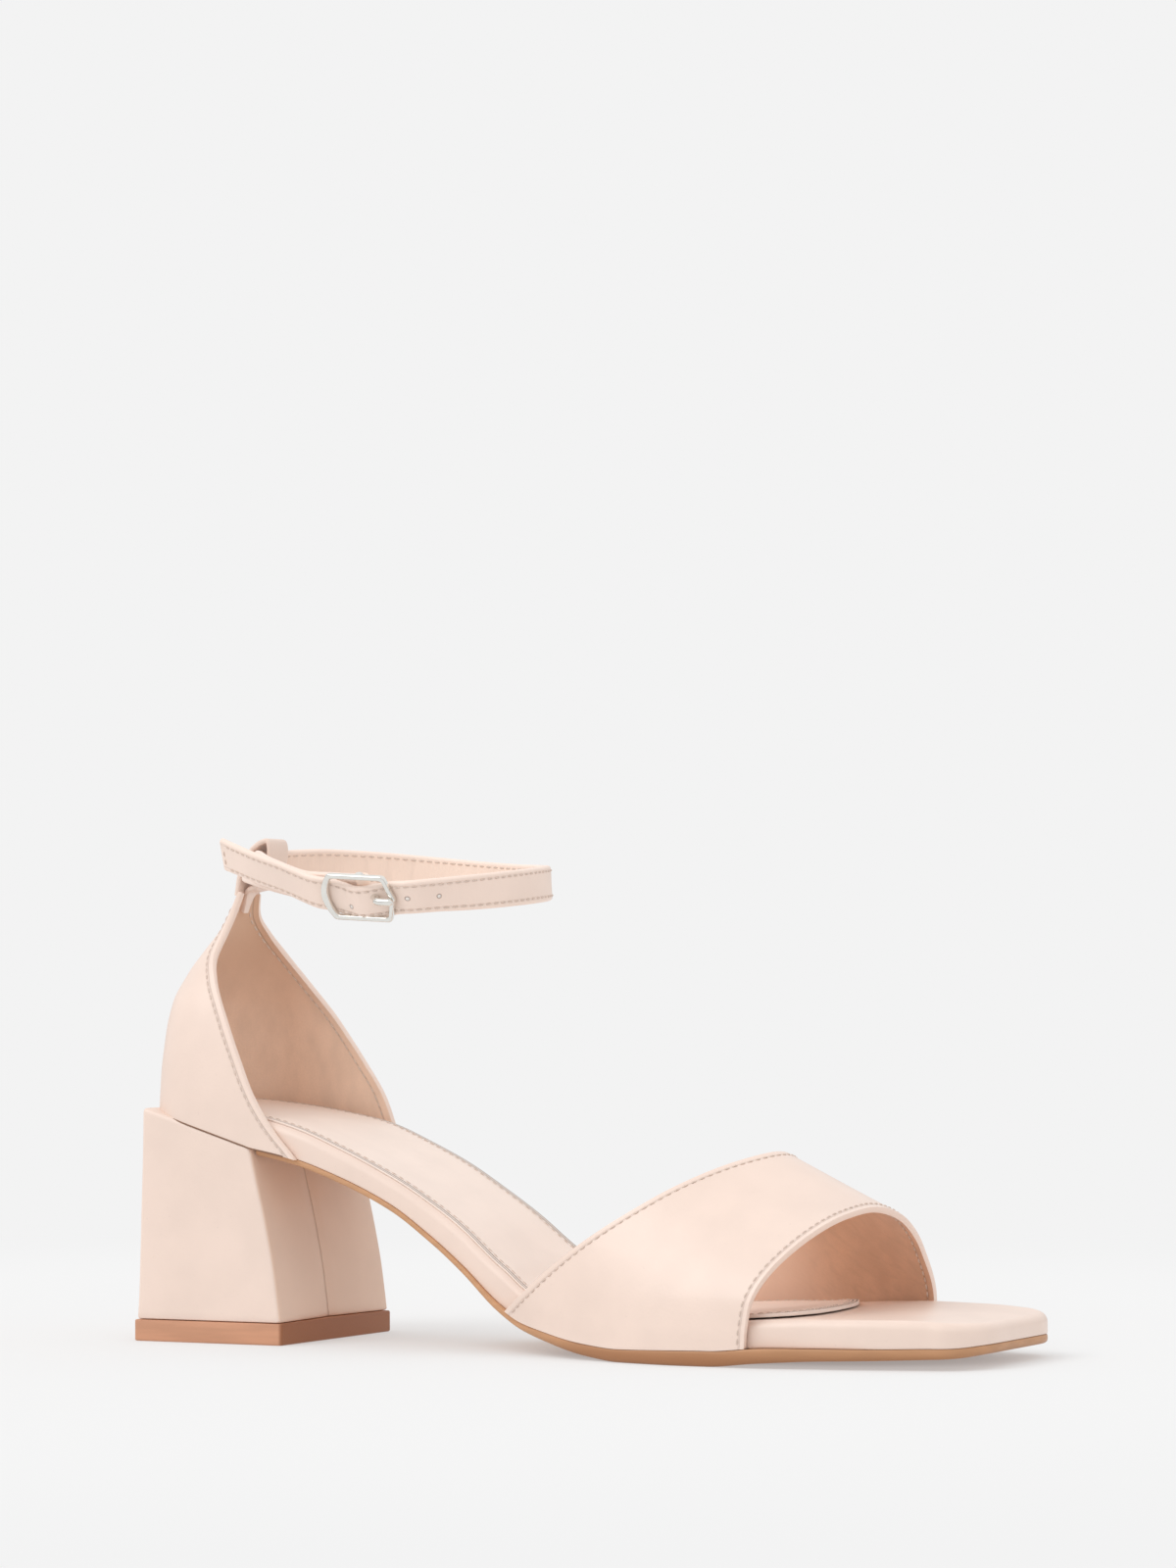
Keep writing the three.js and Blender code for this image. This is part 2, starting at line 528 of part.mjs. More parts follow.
function sockGeometry() {
  const bottom = (x, y) => footbedTop(x, y) + GAP;
  const top = (x, y) => bottom(x, y) + SOCK_THICKNESS;
  const side = (name, turn) => {
    const round = seatSide(turn, SEAT_INSET + SOCK_MARGIN, SEAT_STEPS);
    const points = [...round];
    for (const edge of toeSide(name, turn, seatEnd + WAIST_STEP, () => -SOCK_MARGIN, SIDE_STEPS)) {
      if (edge.x < SOLE_LENGTH * 0.69) points.push(edge);
    }
    for (const row of SOCK_FRONT) {
      points.push({ x: SOLE_LENGTH * row[name + "At"], y: -turn * BALL_WIDTH * row[name] });
    }
    return points;
  };
  const steps = [
    { inset: 0, share: 0, lift: 0 },
    { inset: 0, share: 0.7, lift: 0 },
    { inset: 0.3, share: 1, lift: 0 },
  ];
  return plate(side("lateral", 1), side("medial", -1), steps, bottom, top);
}

const heelLines = { back: line(HEEL_SIDE, "back"), breast: line(HEEL_SIDE, "breast") };

// Ring of the block at one share of its height. The breast is hollow between its two edges.
function heelRing(share, inset, lift, bottom) {
  const ring = [];
  const base = HEEL_BASE_LENGTH;
  const middle = bottom + share * (HEEL_HEIGHT - bottom);
  const back = base * heelLines.back(middle / HEEL_HEIGHT) + inset;
  const frontHeight = bottom + share * (heelRim(BREAST_TOP) - bottom);
  const front = base * heelLines.breast(frontHeight / HEEL_HEIGHT) - inset;
  const half = HEEL_WIDTH / 2 - inset;
  const place = (x, y) => {
    const z = bottom + share * (heelRim(x) - bottom) + lift;
    ring.push(new THREE.Vector3(x, y, z));
  };
  const corner = (x, y, from) => {
    for (const step of [0, 0.5, 1]) {
      const angle = from + (step * Math.PI) / 2;
      place(x + HEEL_EDGE * Math.cos(angle), y + HEEL_EDGE * Math.sin(angle));
    }
  };
  corner(back + HEEL_EDGE, half - HEEL_EDGE, Math.PI / 2);
  corner(back + HEEL_EDGE, HEEL_EDGE - half, Math.PI);
  corner(front - HEEL_EDGE, HEEL_EDGE - half, -Math.PI / 2);
  for (const step of [-0.6, -0.3, 0, 0.3, 0.6]) {
    const depth = HEEL_WRAP_DEPTH * Math.cos((step * Math.PI) / 2) ** 2;
    place(front - depth, half * step);
  }
  corner(front - HEEL_EDGE, half - HEEL_EDGE, 0);
  return ring;
}

function loftRings(rings) {
  const points = rings.flat();
  const count = rings[0].length;
  const faces = [];
  for (let i = 0; i < rings.length - 1; i += 1) {
    for (let k = 0; k < count; k += 1) {
      const next = (k + 1) % count;
      quad(faces, i * count + k, i * count + next, (i + 1) * count + next, (i + 1) * count + k);
    }
  }
  for (const [ring, turned] of [[0, false], [rings.length - 1, true]]) {
    const outline = rings[ring].map((point) => new THREE.Vector2(point.x, point.y));
    for (const [a, b, c] of THREE.ShapeUtils.triangulateShape(outline, [])) {
      const first = ring * count;
      faces.push(first + (turned ? a : c), first + b, first + (turned ? c : a));
    }
  }
  return surface(points, faces);
}

// Spaces of the seat in the block's top: the counter's foot on its rim and the footbed's deeper bed
function seatSpace(lateral, medial, inset, bottom) {
  const top = () => HEEL_HEIGHT * 1.5;
  const steps = [{ inset, share: 0, lift: 0 }, { inset, share: 1, lift: 0 }];
  return solid(plate(lateral, medial, steps, bottom, top));
}

function rimSide(turn) {
  const points = seatSide(turn, -GAP, SEAT_STEPS);
  const half = points.at(-1).y;
  return [...points, { x: HEEL_BASE_LENGTH, y: half }, { x: HEEL_BASE_LENGTH * 1.2, y: half }];
}

function bedSide(side, turn) {
  return footbedSide(side, turn).filter((edge) => edge.x < HEEL_BASE_LENGTH * 1.4);
}

function heelGeometry() {
  const bottom = TIP_THICKNESS + GAP;
  const rings = [];
  rings.push(heelRing(0, 0.5, 0, bottom));
  rings.push(heelRing(0, 0, 0.6, bottom));
  for (const share of [0.15, 0.3, 0.45, 0.6, 0.75, 0.9]) {
    rings.push(heelRing(share, 0, 0, bottom));
  }
  rings.push(heelRing(1, 0, -1, bottom));
  rings.push(heelRing(1, 0.3, -0.3, bottom));
  rings.push(heelRing(1, 1, 0, bottom));
  const rim = seatSpace(rimSide(1), rimSide(-1), 0, (x) => heelRim(x) - SEAT_SINK);
  const bedInset = (x) => seatTuck(x) - GAP;
  const bedFloor = (x) => footbedBottom(x) - GAP;
  const bed = seatSpace(bedSide("lateral", 1), bedSide("medial", -1), bedInset, bedFloor);
  return geometryOf(solid(loftRings(rings)).subtract(rim).subtract(bed));
}

function tipGeometry() {
  const back = HEEL_BASE_LENGTH * HEEL_SIDE[0].back - TIP_LIP;
  const front = HEEL_BASE_LENGTH * HEEL_SIDE[0].breast + TIP_LIP;
  const half = HEEL_WIDTH / 2 + TIP_LIP;
  const ring = (z, inset) => {
    const points = [];
    const corners = [
      [back + HEEL_EDGE, half - HEEL_EDGE, Math.PI / 2],
      [back + HEEL_EDGE, HEEL_EDGE - half, Math.PI],
      [front - HEEL_EDGE, HEEL_EDGE - half, -Math.PI / 2],
      [front - HEEL_EDGE, half - HEEL_EDGE, 0],
    ];
    for (const [x, y, from] of corners) {
      for (const step of [0, 0.5, 1]) {
        const angle = from + (step * Math.PI) / 2;
        const radius = HEEL_EDGE - inset;
        points.push(new THREE.Vector3(x + radius * Math.cos(angle), y + radius * Math.sin(angle), z));
      }
    }
    return points;
  };
  const edge = 0.4;
  return loftRings([ring(0, edge), ring(edge, 0), ring(TIP_THICKNESS - edge, 0), ring(TIP_THICKNESS, edge)]);
}

// Counter's outside. u runs from the lateral front edge round the back to the medial one, v upward.
const levelLines = Object.fromEntries(
  ["half", "back", "round", "lateral", "medial", "square"].map((name) => [name, line(COUNTER_LEVELS, name, "rise")]),
);

function counterFoot(x) {
  const onHeel = heelRim(x) - SEAT_SINK + GAP;
  const onSole = outsoleTop(x) + GAP;
  const share = THREE.MathUtils.smoothstep(x, BREAST_TOP - 2, BREAST_TOP + 1);
  return onHeel + (onSole - onHeel) * share;
}

function counterPoint(u, v) {
  const level = {};
  for (const name of Object.keys(levelLines)) level[name] = levelLines[name](v);
  const side = u < 0.5 ? "lateral" : "medial";
  const turn = u < 0.5 ? -1 : 1;
  const share = Math.abs(u - 0.5) * 2;
  const edge = SEAT_WIDTH * level[side];
  const back = SEAT_WIDTH * level.back;
  const round = SEAT_WIDTH * level.round;
  const power = 2 / level.square;
  const curveEnd = Math.acos(THREE.MathUtils.clamp(1 - (edge - back) / round, 0, 1) ** (1 / power));
  const straight = Math.max(edge - back - round, 0);
  const curve = (round * 1.25 * curveEnd) / (Math.PI / 2);
  const run = share * (curve + straight);
  const angle = curveEnd * Math.min(run / curve, 1);
  const x = back + round * (1 - Math.cos(angle) ** power) + Math.max(run - curve, 0);
  const y = turn * SEAT_WIDTH * level.half * Math.sin(angle) ** power;
  const foot = counterFoot(x);
  const backFoot = counterFoot(SEAT_WIDTH * COUNTER_LEVELS[0].back);
  const top = HEEL_HEIGHT + COUNTER_HEIGHT;
  const z = backFoot + (top - backFoot) * v + (foot - backFoot) * (1 - v);
  return new THREE.Vector3(x, y, z);
}

function counterGeometry() {
  const roll = { first: 0, end: 0.4, last: 0.2, start: 0.4 };
  return shell(counterPoint, 36, 16, COUNTER_WALL, roll);
}

// Band's outside. u runs from the lateral foot over the instep to the medial foot, v from back edge to front edge.
const archLines = Object.fromEntries(
  ["backAt", "back", "backUp", "frontAt", "front", "frontUp"].map((name) => [name, swing(BAND_ARCH, name, "way")]),
);

const BAND_PULL = 0.42; // share of the band's way over which its foot is drawn to the sole

function bandEdge(u, end) {
  const x = SOLE_LENGTH * archLines[end + "At"](u);
  const y = BALL_WIDTH * archLines[end](u);
  const z = BAND_HEIGHT * archLines[end + "Up"](u);
  return new THREE.Vector3(x, y, z);
}

function bandFoot(v, side, turn) {
  const u = side === "lateral" ? 0 : 1;
  const x = THREE.MathUtils.lerp(bandEdge(u, "back").x, bandEdge(u, "front").x, v);
  const y = -turn * (BALL_WIDTH * planLines[side](x / SOLE_LENGTH) + BAND_OUT);
  return new THREE.Vector3(x, y, outsoleTop(x) + 2 * GAP);
}

function bandPoint(u, v) {
  const point = bandEdge(u, "back").lerp(bandEdge(u, "front"), v);
  for (const [side, turn, way] of [["lateral", 1, u], ["medial", -1, 1 - u]]) {
    const end = side === "lateral" ? 0 : 1;
    const straight = bandEdge(end, "back").lerp(bandEdge(end, "front"), v);
    const pull = bandFoot(v, side, turn).sub(straight);
    point.addScaledVector(pull, THREE.MathUtils.clamp(1 - way / BAND_PULL, 0, 1) ** 2);
  }
  return point;
}

function bandGeometry() {
  const roll = { first: 0.3, end: 0, last: 0.3, start: 0 };
  return shell(bandPoint, 40, 12, BAND_WALL, roll);
}

// Directions of a strap that runs along a tangent: across its width and out of its face
function strapFrame(place, tangent, lean) {
  const along = tangent.clone().normalize();
  const up = new THREE.Vector3(0, 0, 1).addScaledVector(along, -along.z).normalize();
  const side = new THREE.Vector3().crossVectors(along, up);
  const angle = THREE.MathUtils.degToRad(lean);
  const across = up.clone().multiplyScalar(Math.cos(angle)).addScaledVector(side, Math.sin(angle));
  const out = side.clone().multiplyScalar(Math.cos(angle)).addScaledVector(up, -Math.sin(angle));
  return { place, along, across, out };
}

// Buckle's frame: its bar's middle, along the strap, across it and out of it
const buckleFall = THREE.MathUtils.degToRad(BUCKLE_PLACE.fall);
const buckle = strapFrame(
  onAnkle(BUCKLE_PLACE),
  new THREE.Vector3(Math.cos(buckleFall), 0, -Math.sin(buckleFall)),
  BUCKLE_PLACE.lean,
);
const buckleMatrix = new THREE.Matrix4()
  .makeBasis(buckle.along, buckle.across, buckle.out)
  .setPosition(buckle.place);

// Heights over the bar's middle, outward: fold, strap over the bar, strap under the end bars, frame
const FOLD_RADIUS = BAR_RADIUS + GAP + FOLD_WALL;
const OVER_BAR = FOLD_RADIUS + GAP + STRAP_THICKNESS / 2;
const RETURN_LEVEL = FOLD_RADIUS - STRAP_THICKNESS / 2 - 2 * FOLD_WALL; // the folded run's middle behind the bar
const UNDER_ENDS = RETURN_LEVEL + STRAP_THICKNESS + GAP;
const FRAME_LEVEL = UNDER_ENDS + STRAP_THICKNESS / 2 + GAP;

function onBuckle(along, out) {
  return new THREE.Vector3(along, 0, out).applyMatrix4(buckleMatrix);
}

function onAnkle(row) {
  const x = ANKLE_BACK + ANKLE_LENGTH * row.along;
  const z = ANKLE_HEIGHT - ANKLE_DROP * row.drop;
  return new THREE.Vector3(x, ANKLE_WIDTH * row.across, z);
}

function strapFrames(perStep) {
  const knots = [];
  for (const row of STRAP_FREE_END) knots.push([onAnkle(row), row.lean]);
  for (const share of [-0.65, -0.45, -0.22, 0, 0.22, 0.45, 0.65]) {
    const rise = Math.cos(THREE.MathUtils.clamp(share / 0.35, -1, 1) * Math.PI) / 2 + 0.5;
    const level = UNDER_ENDS + (OVER_BAR - UNDER_ENDS) * rise;
    knots.push([onBuckle(BUCKLE_LENGTH * share, level), BUCKLE_PLACE.lean]);
  }
  for (const row of STRAP_ROUND) knots.push([onAnkle(row), row.lean]);
  for (const share of [-0.75, -0.5, -0.25, -0.07]) {
    knots.push([onBuckle(BUCKLE_LENGTH * share, RETURN_LEVEL), BUCKLE_PLACE.lean]);
  }
  const curve = new THREE.CatmullRomCurve3(knots.map(([place]) => place), false, "centripetal");
  const frames = [];
  const steps = (knots.length - 1) * perStep;
  for (let i = 0; i <= steps; i += 1) {
    const t = i / steps;
    const index = Math.min(Math.floor(i / perStep), knots.length - 2);
    const lean = THREE.MathUtils.lerp(knots[index][1], knots[index + 1][1], i / perStep - index);
    frames.push(strapFrame(curve.getPoint(t), curve.getTangent(t), lean));
  }
  return frames;
}

// Section of a strap with eased edges
function strapSection(width, thickness) {
  const [w, t, ease] = [width / 2, thickness / 2, thickness * 0.28];
  return [
    [-w + ease, -t], [w - ease, -t], [w, -t + ease], [w, t - ease],
    [w - ease, t], [-w + ease, t], [-w, t - ease], [-w, -t + ease],
  ];
}

// Rod and box in the buckle's own directions
function rodAcross(radius, length) {
  return new THREE.CylinderGeometry(radius, radius, length, 16);
}

function boxBetween(along, across, out) {
  const size = [along, across, out].map(([low, high]) => high - low);
  const middle = [along, across, out].map(([low, high]) => (low + high) / 2);
  return new THREE.BoxGeometry(...size).translate(...middle);
}

const PRONG_SLOT = PRONG_RADIUS + 1.5 * GAP; // half the slot's width
const SLOT_START = 0.1; // slot in the strap over the bar, from the bar toward the toe
const SLOT_END = 7;
const EYE_ROOM = 3; // half the length of the fold's cut round the prong's eye

function strapGeometry() {
  const strap = solid(ribbon(strapFrames(3), strapSection(STRAP_WIDTH, STRAP_THICKNESS)));
  const placed = (geometry) => solid(geometry.applyMatrix4(buckleMatrix));
  const fold = placed(rodAcross(FOLD_RADIUS, STRAP_WIDTH));
  const bore = placed(rodAcross(BAR_RADIUS + GAP, STRAP_WIDTH * 1.2));
  const width = [-PRONG_SLOT, PRONG_SLOT];
  const ring = placed(boxBetween([-EYE_ROOM, EYE_ROOM], width, [-FOLD_RADIUS - 1, FOLD_RADIUS + GAP / 2]));
  const slot = placed(boxBetween([SLOT_START, SLOT_END], width, [FOLD_RADIUS - 2 * GAP, FRAME_LEVEL + 2 * BUCKLE_DEPTH]));
  return geometryOf(strap.add(fold).subtract(bore).subtract(ring).subtract(slot));
}

// Outline of the buckle's frame: round on its left, pointed on its right
function frameShape(inset, backInset) {
  const shape = new THREE.Shape();
  const high = BUCKLE_HEIGHT / 2 - inset;
  const left = -BUCKLE_LENGTH / 2 + backInset;
  const right = BUCKLE_LENGTH / 2 - inset * 1.1;
  const shoulder = BUCKLE_LENGTH * 0.39 - inset * 0.55;
  const start = backInset * 0.5 - BUCKLE_LENGTH * 0.34;
  const bulge = 2 * left - start;
  const ease = 1;
  shape.moveTo(start + ease, high);
  shape.lineTo(shoulder - ease, high);
  shape.quadraticCurveTo(shoulder, high, shoulder + ease * 0.35, high - ease * 0.8);
  shape.lineTo(right - ease * 0.2, ease * 0.5);
  shape.quadraticCurveTo(right, 0, right - ease * 0.2, -ease * 0.5);
  shape.lineTo(shoulder + ease * 0.35, ease * 0.8 - high);
  shape.quadraticCurveTo(shoulder, -high, shoulder - ease, -high);
  shape.lineTo(start + ease, -high);
  shape.quadraticCurveTo(start, -high, start - ease * 0.4, ease * 0.7 - high);
  shape.quadraticCurveTo(bulge, 0, start - ease * 0.4, high - ease * 0.7);
  shape.quadraticCurveTo(start, high, start + ease, high);
  return shape;
}

function frameGeometry() {
  const bevel = 0.25;
  const shape = frameShape(bevel, bevel);
  const wire = BUCKLE_WIRE - bevel;
  const window = frameShape(wire, wire + BUCKLE_BACK_BAR).getPoints(5).slice(1).reverse();
  shape.holes.push(new THREE.Path(window));
  const ring = new THREE.ExtrudeGeometry(shape, {
    depth: BUCKLE_DEPTH - 2 * bevel,
    bevelEnabled: true,
    bevelThickness: bevel,
    bevelSize: bevel,
    bevelSegments: 1,
    curveSegments: 5,
  }).translate(0, 0, FRAME_LEVEL + bevel);
  const reach = (BUCKLE_HEIGHT - BUCKLE_WIRE) / 2;
  const half = BUCKLE_WIRE * 0.45;
  let made = solid(ring).add(solid(rodAcross(BAR_RADIUS, 2 * reach)));
  for (const side of [-1, 1]) {
    const width = [side * reach - half, side * reach + half];
    made = made.add(solid(boxBetween([-half, half], width, [-BAR_RADIUS, FRAME_LEVEL + BUCKLE_DEPTH / 2])));
  }
  return geometryOf(made).applyMatrix4(buckleMatrix);
}

function prongGeometry() {
  const eye = new THREE.Shape();
  eye.absarc(0, 0, FOLD_RADIUS - 0.1, 0, Math.PI * 2);
  const bore = new THREE.Path();
  bore.absarc(0, 0, BAR_RADIUS + GAP, 0, Math.PI * 2, true);
  eye.holes.push(bore);
  const thick = 2 * PRONG_RADIUS;
  const ring = new THREE.ExtrudeGeometry(eye, { depth: thick, bevelEnabled: false, curveSegments: 8 })
    .translate(0, 0, -thick / 2)
    .rotateX(Math.PI / 2);
  const rest = FRAME_LEVEL + BUCKLE_DEPTH + GAP + PRONG_RADIUS;
  const reach = BUCKLE_LENGTH / 2;
  const route = [
    [0.05, 0.5 * FOLD_RADIUS + 0.5],
    [0.22, 0.35 * rest],
    [0.38, 0.66 * rest],
    [0.55, 0.94 * rest],
    [0.75, rest],
    [1.02, rest],
  ].map(([along, out]) => new THREE.Vector3(reach * along, 0, out));
  const curve = new THREE.CatmullRomCurve3(route, false, "centripetal");
  const frames = [];
  for (let i = 0; i <= 14; i += 1) {
    const along = curve.getTangent(i / 14).normalize();
    const across = new THREE.Vector3(0, 1, 0);
    frames.push({ place: curve.getPoint(i / 14), across, out: new THREE.Vector3().crossVectors(along, across) });
  }
  const section = [];
  for (let k = 0; k < 8; k += 1) {
    const angle = ((k + 0.5) * Math.PI) / 4;
    section.push([PRONG_RADIUS * Math.cos(angle), PRONG_RADIUS * Math.sin(angle)]);
  }
  return geometryOf(solid(ring).add(solid(ribbon(frames, section)))).applyMatrix4(buckleMatrix);
}

// Loop round the strap: an outer leg on the counter's top, an arch, and an inner leg down in front of the counter
function loopGeometry() {
  const tab = counterPoint(0.5, 1);
  const lower = counterPoint(0.5, 1 - LOOP_TAIL / COUNTER_HEIGHT);
  const edge = counterPoint(0, 1);
  const lean = THREE.MathUtils.degToRad(LOOP_LEAN);
  const up = new THREE.Vector2(Math.sin(lean), Math.cos(lean));
  const out = new THREE.Vector2(Math.cos(lean), -Math.sin(lean));
  const reach = STRAP_THICKNESS / 2 + LOOP_PLAY + LOOP_WALL / 2;
  const front = reach + LOOP_BOW;
  const half = STRAP_WIDTH / 2;
  const middle = new THREE.Vector2(ANKLE_BACK, ANKLE_HEIGHT);
  const place = (away, rise) => middle.clone().addScaledVector(out, away).addScaledVector(up, rise);
  const depth = edge.x - tab.x; // the counter's top curves forward this far at its edges
  const inner = COUNTER_WALL + depth + 2 * GAP + LOOP_WALL / 2;
  const line = [
    new THREE.Vector2(tab.x + LOOP_WALL / 2, tab.z + GAP),
    place(-reach, -half * 0.7),
    place(-reach, half * 0.2),
    place(-reach * 0.9, half * 0.85),
    place(LOOP_BOW / 2, half + 2 * GAP + LOOP_WALL / 2),
    place(front * 0.9, half * 0.85),
    place(front, half * 0.2),
    place(front, -half * 0.8),
    new THREE.Vector2(tab.x + inner, tab.z),
    new THREE.Vector2(lower.x + inner, lower.z),
  ];
  const curve = new THREE.SplineCurve(line);
  const steps = 36;
  const [left, right] = [[], []];
  for (let i = 0; i <= steps; i += 1) {
    const point = curve.getPoint(i / steps);
    const along = curve.getTangent(i / steps);
    const across = new THREE.Vector2(-along.y, along.x).multiplyScalar(LOOP_WALL / 2);
    left.push(point.clone().add(across));
    right.push(point.clone().sub(across));
  }
  const shape = new THREE.Shape([...left, ...right.reverse()]);
  return new THREE.ExtrudeGeometry(shape, { depth: LOOP_WIDTH, bevelEnabled: false })
    .rotateX(Math.PI / 2)
    .translate(0, LOOP_WIDTH / 2, 0);
}

// Materials
const leather = new THREE.MeshStandardMaterial({ color: 0xf2dccd, roughness: 0.5, metalness: 0 });
const wrapLeather = new THREE.MeshStandardMaterial({ color: 0xf0d9ca, roughness: 0.45, metalness: 0 });
const lining = new THREE.MeshStandardMaterial({ color: 0xe6c3ab, roughness: 0.6, metalness: 0 });
const soleRubber = new THREE.MeshStandardMaterial({ color: 0xd29c6c, roughness: 0.55, metalness: 0 });
const tipRubber = new THREE.MeshStandardMaterial({ color: 0xb98263, roughness: 0.6, metalness: 0 });
const metal = new THREE.MeshStandardMaterial({ color: 0xdfe0dc, roughness: 0.2, metalness: 1 });

const sandal = new THREE.Group();
sandal.position.x = -HEEL_BASE_LENGTH / 2;

function add(name, geometry, material) {
  const mesh = new THREE.Mesh(geometry, material.clone());
  mesh.name = name;
  sandal.add(mesh);
}

add("outsole", outsoleGeometry(), soleRubber);
add("heel_block", heelGeometry(), wrapLeather);
add("heel_tip", tipGeometry(), tipRubber);
add("footbed", footbedGeometry(), wrapLeather);
add("insole_sock", sockGeometry(), lining);
add("heel_counter", counterGeometry(), leather);
add("strap_loop", loopGeometry(), leather);
add("vamp_band", bandGeometry(), leather);
add("ankle_strap", strapGeometry(), leather);
add("buckle_frame", frameGeometry(), metal);
add("buckle_prong", prongGeometry(), metal);

export default sandal;
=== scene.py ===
"""Looks of the block heel sandal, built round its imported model."""
import math

import bmesh
import bpy
import numpy as np
from mathutils import Matrix, Vector


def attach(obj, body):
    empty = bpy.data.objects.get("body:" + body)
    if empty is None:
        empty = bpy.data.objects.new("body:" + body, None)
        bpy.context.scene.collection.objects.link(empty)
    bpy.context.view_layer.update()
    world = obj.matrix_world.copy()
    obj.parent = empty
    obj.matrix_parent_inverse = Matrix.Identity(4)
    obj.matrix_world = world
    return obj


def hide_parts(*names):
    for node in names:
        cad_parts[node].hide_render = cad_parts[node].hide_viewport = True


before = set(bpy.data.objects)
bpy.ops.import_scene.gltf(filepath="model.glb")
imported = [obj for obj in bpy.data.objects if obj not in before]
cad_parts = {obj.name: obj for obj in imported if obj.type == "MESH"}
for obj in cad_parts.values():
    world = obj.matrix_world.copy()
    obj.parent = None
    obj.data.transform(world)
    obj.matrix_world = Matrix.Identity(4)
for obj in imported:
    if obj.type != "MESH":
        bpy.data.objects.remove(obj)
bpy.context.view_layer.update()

# Sizes of the shoe in millimetres. They are the solids' own, except SOCK_MARGIN, BUCKLE_HEIGHT, BUCKLE_LEAN,
# LOOP_INNER and some rows of the band and the strap, which follow the real shoe more closely.
# x = 0 is the heel block's back, +X the toe, +Y the medial side, +Z up.
SOLE_LENGTH = 239
BALL_WIDTH = 80
SEAT_WIDTH = 54.8
HEEL_HEIGHT = 61.2
HEEL_BASE_LENGTH = 44.4
HEEL_WIDTH = 55
HEEL_FALL = 0.31
HEEL_EDGE = 1.1
HEEL_WRAP_DEPTH = 1.3
TIP_THICKNESS = 5.6
TIP_LIP = 0.4
OUTSOLE_THICKNESS = 3
FOOTBED_THICKNESS = 8
FOOTBED_EDGE = 2.6
TOE_CORNER = 11
TOE_ROUND = 17
SOCK_MARGIN = 1.9
GAP = 0.3
SEAT_SINK = 0.6
COUNTER_HEIGHT = 56.8
COUNTER_WALL = 1.8
BAND_HEIGHT = 50.4
BAND_WALL = 1.6
LOOP_WIDTH = 9.4
LOOP_WALL = 1.2
LOOP_PLAY = 0.8
LOOP_BOW = 1.4
LOOP_LEAN = 31
LOOP_INNER = 5  # the inner leg's tongue below the counter's top
STRAP_WIDTH = 9.2
STRAP_THICKNESS = 1.8
ANKLE_LENGTH = 84.5
ANKLE_WIDTH = 60
STRAP_RISE = 6.7
ANKLE_HEIGHT = HEEL_HEIGHT + COUNTER_HEIGHT + STRAP_RISE
ANKLE_DROP = 10
ANKLE_BACK = 21
BUCKLE_LENGTH = 21.6
BUCKLE_HEIGHT = 13
BUCKLE_WIRE = 1.35
BUCKLE_BACK_BAR = 0.6
BUCKLE_DEPTH = 1.5
BAR_RADIUS = 0.7
PRONG_RADIUS = 0.75
FOLD_WALL = 0.8
BUCKLE_PLACE = (0.619, -0.545, 0.83)
BUCKLE_FALL = 3.7
BUCKLE_LEAN = 28

# at, tread, outsole, footbed, drop
SOLE_SIDE = [
    (-0.01, 0.868, 0.45, 1.03, 0), (0.084, 0.838, 0.45, 0.95, 0), (0.15, 0.796, 0.45, 0.98, 0),
    (0.197, 0.758, 0.45, 0.99, 0.08), (0.25, 0.685, 0.46, 1.01, 0.2), (0.315, 0.566, 0.48, 1.1, 0.33),
    (0.36, 0.447, 0.5, 1.24, 0.36), (0.405, 0.316, 0.52, 1.32, 0.34), (0.45, 0.176, 0.55, 1.29, 0.25),
    (0.485, 0.1, 0.6, 1.06, 0.16), (0.525, 0.056, 0.72, 0.88, 0.08), (0.575, 0.016, 0.9, 0.88, 0),
    (0.62, 0, 0.97, 0.87, 0), (0.725, 0, 1.16, 0.86, 0), (0.78, 0.018, 1.1, 0.83, 0),
    (0.84, 0.0305, 0.91, 0.87, 0), (0.9, 0.036, 0.83, 0.86, 0), (0.94, 0.041, 0.8, 0.82, 0),
    (0.975, 0.047, 0.72, 0.74, 0), (1, 0.062, 0.62, 0.62, 0),
]
# at, lateral, medial, lip
SOLE_PLAN = [
    (0.075, 0.3165, 0.3165, 0.1), (0.13, 0.3165, 0.3165, 0.1), (0.2, 0.317, 0.308, 0.12),
    (0.28, 0.3, 0.268, 0.15), (0.36, 0.292, 0.24, 0.25), (0.46, 0.33, 0.268, 0.7), (0.585, 0.437, 0.365, 1.1),
    (0.69, 0.498, 0.452, 1.12), (0.765, 0.497, 0.47, 1.1), (0.85, 0.47, 0.441, 0.6),
    (0.91, 0.435, 0.396, 0.1), (0.9625, 0.393, 0.33, -0.1),
]
# lateralAt, lateral, medialAt, medial
SOCK_FRONT = [
    (0.745, 0.458, 0.712, 0.41), (0.782, 0.44, 0.742, 0.397), (0.803, 0.385, 0.76, 0.352),
    (0.815, 0.28, 0.778, 0.26), (0.815, 0.15, 0.795, 0.14), (0.81, 0.04, 0.805, 0.04),
]
# at, back, breast
HEEL_SIDE = [
    (0, -0.012, 0.996), (0.1, -0.006, 0.988), (0.2, 0.003, 0.972), (0.32, 0.009, 0.949), (0.43, 0.014, 0.92),
    (0.56, 0.019, 0.88), (0.69, 0.025, 0.832), (0.82, 0.03, 0.789), (1, 0.034, 0.763),
]
